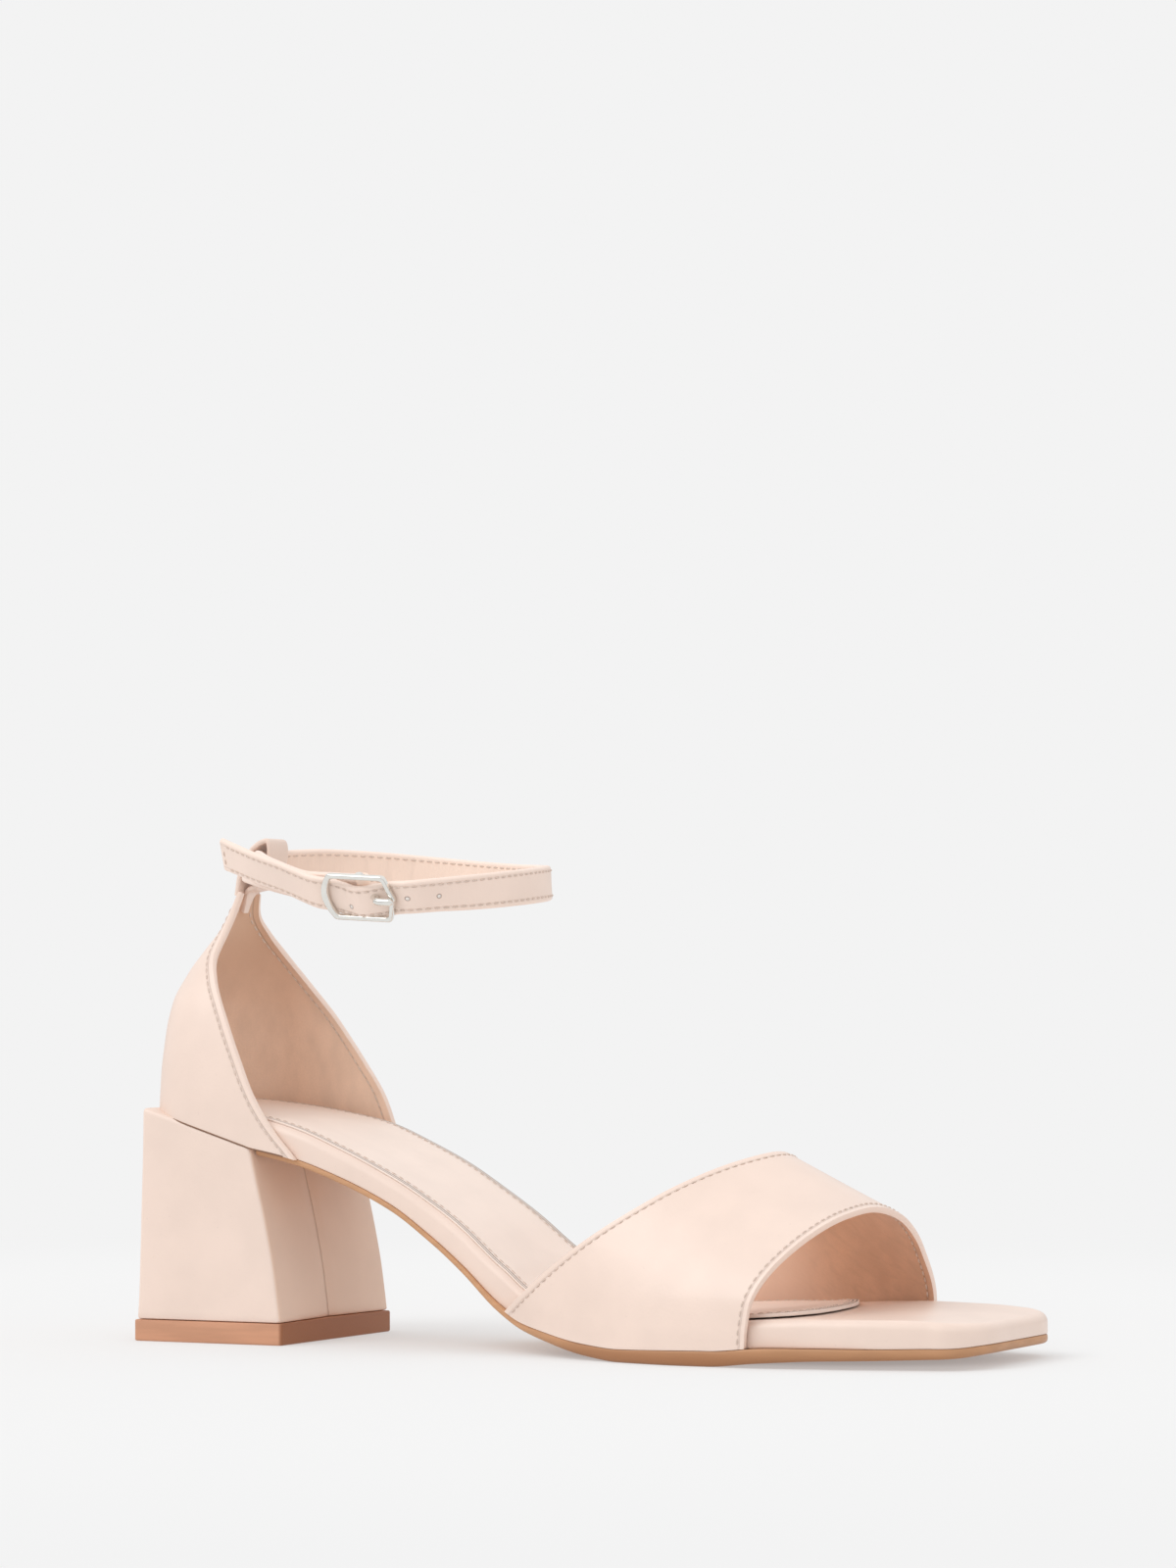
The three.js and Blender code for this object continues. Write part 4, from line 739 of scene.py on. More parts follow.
# Sole
def build_outsole():
    piece = Piece()
    start = BREAST_TOP + 2 * GAP

    def widen(x):
        waves = 0.12 * math.sin(x * 0.31) * smoothstep(x, 90, 130)
        return BAND_OUT * plan_lines["lip"](x / SOLE_LENGTH) + waves

    def top(x, y=0.0):
        return outsole_top(x) + GAP * 0.8

    lateral = toe_side("lateral", start, widen, 130)
    medial = toe_side("medial", start, widen, 130)
    steps = (
        (1.5, 0), (0.9, 0.02), (0.45, 0.09), (0.18, 0.2), (0.04, 0.36), (0, 0.55), (0.04, 0.8), (0.12, 0.93),
        (0.3, 1),
    )
    profile = [
        (inset, lambda x, y, share=share: lerp(tread_height(x), top(x), share)) for inset, share in steps
    ]
    plate(piece, lateral, medial, profile, top, bottom=tread_height)
    piece.build("outsole_welt", [sole_rubber], ["outsole"])


def build_footbed():
    piece = Piece()

    def bottom(x, y=0.0):
        on_heel = heel_rim(x) - SEAT_SINK + GAP
        share = smoothstep(x, BREAST_TOP - 1, BREAST_TOP + 1)
        return max(footbed_bottom(x), lerp(on_heel, footbed_bottom(x), share))

    lateral = seat_side("lateral", SEAT_INSET, lambda x: 0, 150)
    medial = seat_side("medial", SEAT_INSET, lambda x: 0, 150)
    lower_edge = ((0.5, 0), (0.15, 0.06), (0.04, 0.2), (0, 0.5))
    profile = [(inset, lambda x, y, rise=rise: bottom(x) + rise) for inset, rise in lower_edge]
    profile += rounded(FOOTBED_EDGE * 0.9, 8, footbed_top)
    plate(piece, lateral, medial, profile, footbed_top, across=40, bottom=bottom)
    piece.build("footbed_wrap", [footbed_skin], ["footbed"])


def build_sock():
    piece = Piece()

    def level(over_seat, at_front):
        """Height over the footbed, which grows where the sock's front end lifts off."""

        def height(x, y):
            return footbed_top(x, y) + lerp(over_seat, at_front, smoothstep(x / SOLE_LENGTH, 0.7, 0.78))

        return height

    bottom, top = level(0.05, 0.5), level(0.55, 1.35)

    sides = {}
    for index, side in ((0, "lateral"), (2, "medial")):
        points = [seat_point(turn, SEAT_INSET + SOCK_MARGIN) for turn in SEAT_TURNS]
        for x, y in toe_side(side, points[-1][0] + 3, lambda x: -SOCK_MARGIN, 110):
            if x < SOLE_LENGTH * 0.69:
                points.append((x, y))
        points += [(SOLE_LENGTH * row[index], BALL_WIDTH * row[index + 1]) for row in SOCK_FRONT]
        sides[side] = resample(points, 150).tolist()
    profile = [(0.3, bottom), (0.05, bottom), (0, level(0.2, 0.65)), (0, level(0.35, 1.15))]
    profile += [(0.1, level(0.48, 1.28)), (0.3, top)]
    plate(piece, sides["lateral"], sides["medial"], profile, top, across=60, bottom=bottom)
    piece.build("insole_sock_pad", [sock_leather], ["insole_sock"])
    for side, turn in (("lateral", -1), ("medial", 1)):
        edge = np.array(sides[side])
        along = np.gradient(edge, axis=0)
        along /= np.linalg.norm(along, axis=1)[:, None]
        inside = edge + np.stack([along[:, 1], -along[:, 0]], 1) * SOCK_STITCH_IN
        path = [(x, turn * y, top(x, turn * y)) for x, y in inside]
        stitches(f"sock_stitches_{side}", path, [(0, 0, 1)] * len(path), "sock_leather")


# Heel
HEEL_CORNER = 7  # points round each of the block's edges
HEEL_FLAT = 23  # points along each of its faces


def heel_ring(share, inset, lift, bottom):
    ring = []
    middle = bottom + share * (HEEL_HEIGHT - bottom)
    back = HEEL_BASE_LENGTH * heel_back(middle / HEEL_HEIGHT) + inset
    front_height = bottom + share * (heel_rim(BREAST_TOP) - bottom)
    front = HEEL_BASE_LENGTH * heel_breast(front_height / HEEL_HEIGHT) - inset
    half = HEEL_WIDTH / 2 - inset
    corner_steps, flat_steps = HEEL_CORNER - 1, HEEL_FLAT + 1

    def place(x, y):
        ring.append((x, y, bottom + share * (heel_rim(x) - bottom) + lift))

    def corner(x, y, start):
        for k in range(corner_steps + 1):
            angle = start + k / corner_steps * math.pi / 2
            place(x + HEEL_EDGE * math.cos(angle), y + HEEL_EDGE * math.sin(angle))

    def straight(x0, y0, x1, y1):
        for k in range(1, flat_steps):
            place(lerp(x0, x1, k / flat_steps), lerp(y0, y1, k / flat_steps))

    corner(back + HEEL_EDGE, half - HEEL_EDGE, math.pi / 2)
    straight(back, half - HEEL_EDGE, back, HEEL_EDGE - half)
    corner(back + HEEL_EDGE, HEEL_EDGE - half, math.pi)
    straight(back + HEEL_EDGE, -half, front - HEEL_EDGE, -half)
    corner(front - HEEL_EDGE, HEEL_EDGE - half, -math.pi / 2)
    for k in range(1, flat_steps):
        step = 2 * k / flat_steps - 1
        depth = HEEL_WRAP_DEPTH * (1.25 * (1 - abs(step)) + 0.35 * math.exp(-abs(step) / 0.05))
        place(front - depth, (half - HEEL_EDGE) * step)
    corner(front - HEEL_EDGE, half - HEEL_EDGE, 0)
    straight(front - HEEL_EDGE, half, back + HEEL_EDGE, half)
    return ring


def build_heel():
    piece = Piece()
    bottom = TIP_THICKNESS + 0.15
    levels = [(0, 0.5, 0), (0, 0.15, 0.15), (0, 0, 0.5)] + [(share / 24, 0, 0) for share in range(1, 24)]
    levels += [(1, 0, -1.2), (1, 0.1, -0.7), (1, 0.35, -0.25), (1, 0.8, -0.02), (1, 1.4, 0)]
    rings = np.array([heel_ring(share, inset, lift, bottom) for share, inset, lift in levels])
    count = rings.shape[1]
    front = 3 * (HEEL_CORNER + HEEL_FLAT) - HEEL_FLAT - HEEL_CORNER // 2 - 1
    breast = np.arange(front, front + HEEL_FLAT + 2 * (HEEL_CORNER // 2) + 1)
    others = np.arange(breast[-1], breast[0] + count + 1) % count
    to_seam = np.stack([np.abs(rings[..., 1]), rings[..., 2].max() - rings[..., 2]], 2)
    piece.grid(rings[:, breast], 1, edge=to_seam[:, breast])
    piece.grid(rings[:, others], 0)
    piece.fan(rings[0])
    piece.fan(rings[-1])
    up = np.array([0, 0, 1.0])
    # a thin dark tube along the counter's foot: painted shadow in the gap over the block
    foot = [counter_point(u, 0) + up * 0.05 for u in np.linspace(0.03, 0.97, 140)]
    tube(piece, foot, 0.2, up, sides=8, slot=2)
    piece.build("heel_wrap", [wrap, breast_painted_shade_skin, seam_shade], ["heel_block"])


def build_tip():
    piece = Piece()
    back = HEEL_BASE_LENGTH * HEEL_SIDE[0][1] - TIP_LIP
    front = HEEL_BASE_LENGTH * HEEL_SIDE[0][2] + TIP_LIP
    half = HEEL_WIDTH / 2 + TIP_LIP

    def ring(z, inset):
        points = []
        radius = HEEL_EDGE
        for x, y, start in (
            (back + radius, half - radius, 90), (back + radius, radius - half, 180),
            (front - radius, radius - half, 270), (front - radius, half - radius, 0),
        ):
            for k in range(7):
                angle = math.radians(start + 15 * k)
                reach = radius - inset
                points.append((x + reach * math.cos(angle), y + reach * math.sin(angle), z))
        return points

    steps = [(0, 0.5), (0.1, 0.2), (0.35, 0)]
    steps += [(TIP_THICKNESS - below, inset) for below, inset in ((0.4, 0), (0.1, 0.15), (0, 0.5))]
    rings = [ring(z, inset) for z, inset in steps]
    piece.grid(rings, closed=True)
    piece.fan(rings[0])
    piece.fan(rings[-1])
    piece.build("heel_tip_rubber", [tip_rubber], ["heel_tip"])


# Shells of leather and lining
def shell(piece, point, us, vs, wall, edges, slots=(0, 1), borders="sides", relief=None):
    """Wall over point(u, v) with rounded edges. edges gives the swell of the u0, u1, v0 and v1 edges.

    borders says which distances go into the map layer: to the sides and the v1 edge, or to both v edges."""
    probe = 1e-3
    outer = np.zeros((len(us), len(vs), 3))
    normal = np.zeros_like(outer)
    for i, u in enumerate(us):
        for j, v in enumerate(vs):
            u0, u1 = max(u - probe, 0), min(u + probe, 1)
            v0, v1 = max(v - probe, 0), min(v + probe, 1)
            along_u = point(u1, v) - point(u0, v)
            along_v = point(u, v1) - point(u, v0)
            inward = np.cross(along_u, along_v)
            outer[i, j] = point(u, v)
            normal[i, j] = inward / np.linalg.norm(inward)
    inner = outer + normal * wall
    if relief is not None:
        outer = outer - normal * relief(us, vs)[..., None]
    arc_u, arc_v = travelled(outer), travelled(outer.transpose(1, 0, 2)).T
    uv = np.stack([arc_u, arc_v], 2)
    if borders == "sides":
        edge = np.stack([np.minimum(arc_u, arc_u[-1:] - arc_u), arc_v[:, -1:] - arc_v], 2)
    else:
        edge = np.stack([arc_v, arc_v[:, -1:] - arc_v], 2)
    piece.grid(outer, slots[0], uv=uv, edge=edge)
    piece.grid(inner, slots[1], uv=uv, edge=edge)
    n, m = len(us) - 1, len(vs) - 1
    walk = [(i, 0, i, 1, edges[2]) for i in range(n)] + [(n, j, n - 1, j, edges[1]) for j in range(m)]
    walk += [(i, m, i, m - 1, edges[3]) for i in range(n, 0, -1)]
    walk += [(0, j, 1, j, edges[0]) for j in range(m, 0, -1)]
    rings = []
    for t in (0, 0.12, 0.3, 0.5, 0.7, 0.88, 1):
        ring = []
        for i, j, a, b, swell in walk:
            away = outer[i, j] - outer[a, b]
            away /= max(np.linalg.norm(away), 1e-9)
            ring.append(lerp(outer[i, j], inner[i, j], t) + away * swell * math.sin(t * math.pi))
        rings.append(ring)
    piece.grid(rings, slots[0], closed=True, edge=np.zeros((len(rings), len(walk), 2)))
    return outer, normal


def counter_foot(x):
    on_heel = heel_rim(x) - SEAT_SINK + GAP
    on_sole = outsole_top(x) + GAP
    return lerp(on_heel, on_sole, smoothstep(x, BREAST_TOP - 2, BREAST_TOP + 1))


def counter_point(u, v):
    level = {name: value(v) for name, value in counter_lines.items()}
    side, turn = ("lateral", -1) if u < 0.5 else ("medial", 1)
    share = abs(u - 0.5) * 2
    edge, back, depth = (SEAT_WIDTH * level[name] for name in (side, "back", "round"))
    power = 2 / level["square"]
    curve_end = math.acos(min(max(1 - (edge - back) / depth, 0), 1) ** (1 / power))
    straight = max(edge - back - depth, 0)
    curve = depth * 1.25 * curve_end / (math.pi / 2)
    run = share * (curve + straight)
    angle = curve_end * min(run / curve, 1)
    x = back + depth * (1 - math.cos(angle) ** power) + max(run - curve, 0)
    y = turn * SEAT_WIDTH * level["half"] * math.sin(angle) ** power
    foot = counter_foot(x)
    back_foot = counter_foot(SEAT_WIDTH * COUNTER_LEVELS[0][2])
    z = back_foot + (HEEL_HEIGHT + COUNTER_HEIGHT - back_foot) * v + (foot - back_foot) * (1 - v)
    return np.array([x, y, z])


def edge_spaced(count, near):
    """Shares from 0 to 1 that lie closer together near both ends."""
    t = np.linspace(0, 1, count)
    return lerp(t, 0.5 - 0.5 * np.cos(t * math.pi), near)


def build_counter():
    piece = Piece()
    us, vs = edge_spaced(151, 0.7), edge_spaced(81, 0.5)
    outer, inward = shell(piece, counter_point, us, vs, COUNTER_WALL, (0.5, 0.5, 0, 0.25))
    piece.build("heel_counter_leather", [upper, counter_lining], ["heel_counter"])
    for side, far_side in (("lateral", False), ("medial", True)):
        for face, where in ((1, "outside"), (-1, "inside")):
            line_at = inset_path(outer, inward, COUNTER_WALL, 0, far_side, STITCH_IN, face, 0.02, 0.9)
            stitches(f"counter_stitches_{side}_{where}", *line_at, "upper_leather", lift=0.07)


arch_lines = {
    name: swing(BAND_ARCH, i + 1)
    for i, name in enumerate(["backAt", "back", "backUp", "frontAt", "front", "frontUp"])
}
BAND_OUT = BAND_WALL + 1.7 * GAP


def band_edge(u, end):
    at, across, up = (arch_lines[end + kind](u) for kind in ("At", "", "Up"))
    return np.array([SOLE_LENGTH * at, BALL_WIDTH * across, BAND_HEIGHT * up])


def band_foot(v, side, turn):
    u = 0 if side == "lateral" else 1
    x = lerp(band_edge(u, "back")[0], band_edge(u, "front")[0], v)
    y = -turn * (BALL_WIDTH * plan_lines[side](x / SOLE_LENGTH) + BAND_OUT)
    return np.array([x, y, outsole_top(x) + 1.2 * GAP])


BAND_PULL = 0.42


def band_point(u, v):
    point = lerp(band_edge(u, "back"), band_edge(u, "front"), v)
    for side, turn, way in (("lateral", 1, u), ("medial", -1, 1 - u)):
        share = min(max(1 - way / BAND_PULL, 0), 1) ** 2
        if share > 0:
            end = 0 if side == "lateral" else 1
            straight = lerp(band_edge(end, "back"), band_edge(end, "front"), v)
            point = point + (band_foot(v, side, turn) - straight) * share
    return point


def build_band():
    piece = Piece()
    us, vs = edge_spaced(181, 0.2), edge_spaced(81, 0.6)

    def relief(us, vs):
        """Slight waves along the two feet, where the leather is lasted over the sole."""
        waves = np.zeros((len(us), len(vs)))
        for i, u in enumerate(us):
            near = math.exp(-min(u, 1 - u) / 0.035)
            for j, v in enumerate(vs):
                waves[i, j] = near * 0.22 * math.sin(v * 21 + 2.2 * math.sin(v * 7)) * math.sin(v * math.pi)
        return waves

    swells = (0, 0, 0.3, 0.12)
    outer, inward = shell(piece, band_point, us, vs, BAND_WALL, swells, borders="ends", relief=relief)
    piece.build("vamp_band_leather", [band_skin, band_lining], ["vamp_band"])
    for end, far_side in (("back", False), ("front", True)):
        for face, where in ((1, "outside"), (-1, "inside")):
            line_at = inset_path(outer, inward, BAND_WALL, 1, far_side, BAND_STITCH_IN, face, 0.015, 0.985)
            stitches(f"band_stitches_{end}_{where}", *line_at, "upper_leather")


# Strap and buckle
def strap_frame(place, tangent, lean):
    along = unit(tangent)
    up = unit(np.array([0, 0, 1.0]) - along * along[2])
    side = np.cross(along, up)
    angle = math.radians(lean)
    across = up * math.cos(angle) + side * math.sin(angle)
    out = side * math.cos(angle) - up * math.sin(angle)
    return place, along, across, out


def on_ankle(row):
    return np.array([
        ANKLE_BACK + ANKLE_LENGTH * row[0], ANKLE_WIDTH * row[1], ANKLE_HEIGHT - ANKLE_DROP * row[2],
    ])


fall = math.radians(BUCKLE_FALL)
BUCKLE = strap_frame(on_ankle(BUCKLE_PLACE), np.array([math.cos(fall), 0, -math.sin(fall)]), BUCKLE_LEAN)
FOLD_RADIUS = BAR_RADIUS + GAP + FOLD_WALL
OVER_BAR = FOLD_RADIUS + GAP + STRAP_THICKNESS / 2
RETURN_LEVEL = FOLD_RADIUS - STRAP_THICKNESS / 2 - 2 * FOLD_WALL
UNDER_ENDS = RETURN_LEVEL + STRAP_THICKNESS + GAP
FRAME_LEVEL = UNDER_ENDS + STRAP_THICKNESS / 2 + GAP


def on_buckle(along, out, across=0.0):
    place, a, c, o = BUCKLE
    return place + a * along + c * across + o * out


def smooth_curve(knots):
    """Centripetal curve through points, as a function of a share of its knots."""
    points = [np.asarray(k, float) for k in knots]

    def value(t):
        span = (len(points) - 1) * min(max(t, 0), 1)
        i = min(int(span), len(points) - 2)
        w = span - i
        p1, p2 = points[i], points[i + 1]
        p0 = points[i - 1] if i > 0 else 2 * points[0] - points[1]
        p3 = points[i + 2] if i + 2 < len(points) else 2 * points[-1] - points[-2]
        d0, d1, d2 = (max(((b - a) @ (b - a)) ** 0.25, 1e-4) for a, b in ((p0, p1), (p1, p2), (p2, p3)))
        t1 = ((p1 - p0) / d0 - (p2 - p0) / (d0 + d1) + (p2 - p1) / d1) * d1
        t2 = ((p2 - p1) / d1 - (p3 - p1) / (d1 + d2) + (p3 - p2) / d2) * d1
        return p1 + t1 * w + (-3 * p1 + 3 * p2 - 2 * t1 - t2) * w * w + (2 * p1 - 2 * p2 + t1 + t2) * w ** 3

    return value


def curve_frames(knots, leans, per_step):
    curve = smooth_curve(knots)
    steps = (len(knots) - 1) * per_step
    frames = []
    for i in range(steps + 1):
        t = i / steps
        index = min(i // per_step, len(knots) - 2)
        lean = lerp(leans[index], leans[index + 1], i / per_step - index)
        tangent = curve(min(t + 1e-4, 1)) - curve(max(t - 1e-4, 0))
        frames.append(strap_frame(curve(t), tangent, lean))
    return frames


def strap_knots():
    knots, leans = [], []
    for row in STRAP_FREE_END:
        knots.append(on_ankle(row))
        leans.append(row[3])
    sags = ((-0.65, 0), (-0.45, 0.5), (-0.22, 1.3), (0, 1.6), (0.22, 1.3), (0.45, 0.5), (0.65, 0.1))
    for share, sag in sags:
        rise = math.cos(min(max(share / 0.35, -1), 1) * math.pi) / 2 + 0.5
        knots.append(on_buckle(BUCKLE_LENGTH * share, lerp(UNDER_ENDS, OVER_BAR, rise), -sag))
        leans.append(BUCKLE_LEAN)
    for row in STRAP_ROUND:
        knots.append(on_ankle(row))
        leans.append(row[3])
    for share in (-0.75, -0.5, -0.25, -0.07):
        knots.append(on_buckle(BUCKLE_LENGTH * share, RETURN_LEVEL))
        leans.append(BUCKLE_LEAN)
    return knots, leans


def strap_section(width, thickness, turns=5, across=18):
    """Closed section of a strap: first its outer face upward, then its inner face downward."""
    half, radius = width / 2, thickness / 2
    points = []
    for k in range(across + 1):
        points.append((lerp(-half + radius, half - radius, k / across), radius, 0))
    for k in range(1, turns * 2):
        angle = math.pi / 2 - k / (turns * 2) * math.pi
        points.append((half - radius + radius * math.cos(angle), radius * math.sin(angle), 0))
    for k in range(across + 1):
        points.append((lerp(half - radius, -half + radius, k / across), -radius, 1))
    for k in range(1, turns * 2):
        angle = -math.pi / 2 - k / (turns * 2) * math.pi
        points.append((-half + radius + radius * math.cos(angle), radius * math.sin(angle), 0))
    return points


def build_strap():
    piece = Piece()
    per_step = 8
    frames = curve_frames(*strap_knots(), per_step)
    section = strap_section(STRAP_WIDTH, STRAP_THICKNESS)
    half, face = STRAP_WIDTH / 2, STRAP_THICKNESS / 2
    arc = travelled(np.array([place for place, *_ in frames]))
    rows, uv, edge = [], [], []
    for (place, along, across, out), length in zip(frames, arc):
        rows.append([place + across * a + out * o for a, o, _ in section])
        uv.append([(length, a) for a, _, _ in section])
        edge.append([(half - abs(a), min(length, FAR)) for a, _, _ in section])
    rows, uv, edge = np.array(rows), np.array(uv), np.array(edge)
    first_inner = next(i for i, s in enumerate(section) if s[2] == 1)
    last_inner = max(i for i, s in enumerate(section) if s[2] == 1)
    columns = list(range(len(section))) + [0]
    for low, high, slot in ((0, first_inner, 0), (first_inner, last_inner, 1), (last_inner, len(section), 0)):
        pick = columns[low: high + 1]
        piece.grid(rows[:, pick], slot, uv=uv[:, pick], edge=edge[:, pick])
    piece.fan(rows[0])
    piece.fan(rows[-1])
    bar = (len(STRAP_FREE_END) + 3) * per_step
    holes = [(arc[bar] + offset, across) for offset, across in STRAP_HOLES]
    stitch_line = (0, STRAP_STITCH_IN, 0.4, 0.12, 0.06)
    skin = leather("strap_leather", STRAP_NUDE, lines=(stitch_line,), rims=((0, 0.7, 0.06),), holes=holes)
    slot_half = PRONG_RADIUS + 0.3
    for side in (-1, 1):
        rings = []
        for radius, t in (
            (FOLD_RADIUS - 0.15, 0), (FOLD_RADIUS, 0.12), (FOLD_RADIUS, 0.88), (FOLD_RADIUS - 0.15, 1),
            (BAR_RADIUS + 0.1, 1), (BAR_RADIUS + 0.1, 0), (FOLD_RADIUS - 0.15, 0),
        ):
            across = side * lerp(slot_half, half, t)
            rings.append([
                on_buckle(radius * math.cos(a), radius * math.sin(a), across)
                for a in np.linspace(0, 2 * math.pi, 24, endpoint=False)
            ])
        piece.grid(rings, 1, closed=True)
    piece.build("ankle_strap_leather", [skin, strap_lining], ["ankle_strap"])
    reach = half - STRAP_STITCH_IN
    last = max(i for i, length in enumerate(arc) if length < arc[-1] - 9)
    for across_name, at in (("upper", reach), ("lower", -reach)):
        for face_name, turn in (("outside", 1), ("inside", -1)):
            path = [place + across * at + out * face * turn for place, _, across, out in frames[3:last]]
            normals = [out * turn for *_, out in frames[3:last]]
            stitches(f"strap_stitches_{across_name}_{face_name}", path, normals, "upper_leather")
    place, along, across, out = frames[0]
    end = place + along * STRAP_STITCH_IN + out * face
    path = [end + across * a for a in np.linspace(0.6 - reach, reach, 12)]
    stitches("strap_stitches_end", path, [out] * len(path), "upper_leather")


def quadratic(a, b, c, count):
    a, b, c = map(np.array, (a, b, c))
    steps = np.linspace(0, 1, count + 1)[1:]
    return [tuple((1 - t) ** 2 * a + 2 * t * (1 - t) * b + t * t * c) for t in steps]


def frame_outline(inset, back_inset, count=10):
    high = BUCKLE_HEIGHT / 2 - inset
    left = -BUCKLE_LENGTH / 2 + back_inset
    right = BUCKLE_LENGTH / 2 - inset * 1.1
    shoulder = BUCKLE_LENGTH * 0.39 - inset * 0.55
    start = back_inset * 0.5 - BUCKLE_LENGTH * 0.385
    bulge = 2 * left - start
    ease = 1.0
    points = [(start + ease, high)]

    def straight(to, steps=6):
        a = np.array(points[-1])
        points.extend(tuple(lerp(a, np.array(to), k / steps)) for k in range(1, steps + 1))

    def bend(middle, to):
        points.extend(quadratic(points[-1], middle, to, count))

    straight((shoulder - ease, high))
    bend((shoulder, high), (shoulder + ease * 0.35, high - ease * 0.8))
    straight((right - ease * 0.2, ease * 0.5))
    bend((right, 0), (right - ease * 0.2, -ease * 0.5))
    straight((shoulder + ease * 0.35, ease * 0.8 - high))
    bend((shoulder, -high), (shoulder - ease, -high))
    straight((start + ease, -high))
    bend((start, -high), (start - ease * 0.4, ease * 0.7 - high))
    bend((bulge, 0), (start - ease * 0.4, high - ease * 0.7))
    bend((start, high), (start + ease, high))
    return points[:-1]


def tube(piece, path, radius, side_way, sides=16, slot=0):
    """Round rod along points, closed at both ends."""
    turns = [2 * math.pi * k / sides for k in range(sides)]
    path = np.asarray(path, float)
    rings = []
    for i, point in enumerate(path):
        along = unit(path[min(i + 1, len(path) - 1)] - path[max(i - 1, 0)])
        a = unit(side_way - along * (side_way @ along))
        b = np.cross(along, a)
        r = radius[i] if hasattr(radius, "__len__") else radius
        rings.append([point + a * r * math.cos(turn) + b * r * math.sin(turn) for turn in turns])
    piece.grid(rings, slot, closed=True)
    piece.fan(rings[0], slot)
    piece.fan(rings[-1], slot)


def build_buckle():
    piece = Piece()
    wire, depth = BUCKLE_WIRE, BUCKLE_DEPTH
    rows = []
    for k in range(25):
        angle = 2 * math.pi * k / 24
        x, z = math.cos(angle), math.sin(angle)
        share = 0.5 - 0.5 * math.copysign(abs(x) ** 0.62, x)
        lift = depth / 2 + depth / 2 * math.copysign(abs(z) ** 0.62, z)
        outline = frame_outline(share * wire, share * (wire + BUCKLE_BACK_BAR))
        rows.append([on_buckle(x, FRAME_LEVEL + lift, y) for x, y in outline])
    piece.grid(rows, closed=True)
    reach = (BUCKLE_HEIGHT - wire) / 2
    level = FRAME_LEVEL + depth / 2
    half_bar = [(reach, level), (reach - 0.12, level * 0.55), (reach - 0.8, level * 0.14)]
    half_bar += [(reach - 2, 0), (reach * 0.5, 0)]
    knots = [on_buckle(0, out, -across) for across, out in half_bar] + [on_buckle(0, 0, 0)]
    knots += [on_buckle(0, out, across) for across, out in reversed(half_bar)]
    curve = smooth_curve(knots)
    tube(piece, [curve(t) for t in np.linspace(0, 1, 60)], BAR_RADIUS * 0.92, BUCKLE[1])
    piece.build("buckle_frame_metal", [metal], ["buckle_frame"], sharp=50)


def build_prong():
    piece = Piece()
    rest = FRAME_LEVEL + BUCKLE_DEPTH + GAP + PRONG_RADIUS
    reach = BUCKLE_LENGTH / 2
    route = [(0.05, 0.5 * FOLD_RADIUS + 0.5)]
    rises = ((0.22, 0.32), (0.42, 0.56), (0.57, 0.95), (0.75, 1), (1.02, 1))
    route += [(at, rest * rise) for at, rise in rises]
    curve = smooth_curve([on_buckle(reach * a, o) for a, o in route])
    ts = np.linspace(0, 1, 40)
    round_end = [math.sqrt(max(1 - (max(t - 0.9, 0) / 0.1) ** 2, 0.03)) for t in ts]
    tube(piece, [curve(t) for t in ts], [1.35 * PRONG_RADIUS * share for share in round_end], BUCKLE[2])
    middle = (FOLD_RADIUS - 0.1 + BAR_RADIUS + GAP) / 2
    turns = np.linspace(0, 2 * math.pi, 13)[:-1]
    section = [(middle + 0.35 * math.cos(turn), PRONG_RADIUS * math.sin(turn)) for turn in turns]
    ring = [
        [on_buckle(away * math.cos(angle), away * math.sin(angle), across) for away, across in section]
        for angle in np.linspace(0, 2 * math.pi, 33)
    ]
    piece.grid(ring, closed=True)
    piece.build("buckle_prong_metal", [metal], ["buckle_prong"], sharp=60)


def build_loop():
    piece = Piece()
    tab, lower = counter_point(0.5, 1), counter_point(0.5, 1 - LOOP_INNER / COUNTER_HEIGHT)
    lean = math.radians(LOOP_LEAN)
    up = np.array([math.sin(lean), 0, math.cos(lean)])
    out = np.array([math.cos(lean), 0, -math.sin(lean)])
    reach = STRAP_THICKNESS / 2 + LOOP_PLAY + LOOP_WALL / 2
    front = reach + LOOP_BOW
    half = STRAP_WIDTH / 2
    middle = np.array([ANKLE_BACK, 0, ANKLE_HEIGHT])
    inner = COUNTER_WALL + GAP + LOOP_WALL / 2
    crown = half + 2 * GAP + LOOP_WALL / 2 + 2.3
    knots = [np.array([tab[0] + LOOP_WALL / 2 + 0.1, 0, tab[2] - 1])]
    for away, rise in (
        (-reach, -half * 0.7), (-reach, half * 0.2), (-reach * 0.95, half * 0.95), (LOOP_BOW / 2, crown),
        (front * 0.95, half * 0.95), (front, half * 0.2), (front, -half * 0.8),
    ):
        knots.append(middle + out * away + up * rise)
    knots += [np.array([tab[0] + inner, 0, tab[2]]), np.array([lower[0] + inner, 0, lower[2]])]
    curve = smooth_curve(knots)
    section = strap_section(LOOP_WIDTH, LOOP_WALL * 1.15, 4, 12)
    rows = []
    for t in np.linspace(0, 1, 90):
        along = unit(curve(min(t + 1e-3, 1)) - curve(max(t - 1e-3, 0)))
        away = np.cross(np.array([0, 1.0, 0]), along)
        narrow = lerp(1, 0.25, smoothstep(t, 0.72, 1))
        rows.append([curve(t) + np.array([0, narrow, 0]) * w + away * o for w, o, _ in section])
    piece.grid(rows, closed=True)
    piece.fan(rows[0])
    piece.fan(rows[-1])
    piece.build("strap_loop_leather", [loop_skin], ["strap_loop"])


build_outsole()
build_footbed()
build_sock()
build_heel()
build_tip()
build_counter()
build_band()
build_strap()
build_buckle()
build_prong()
build_loop()


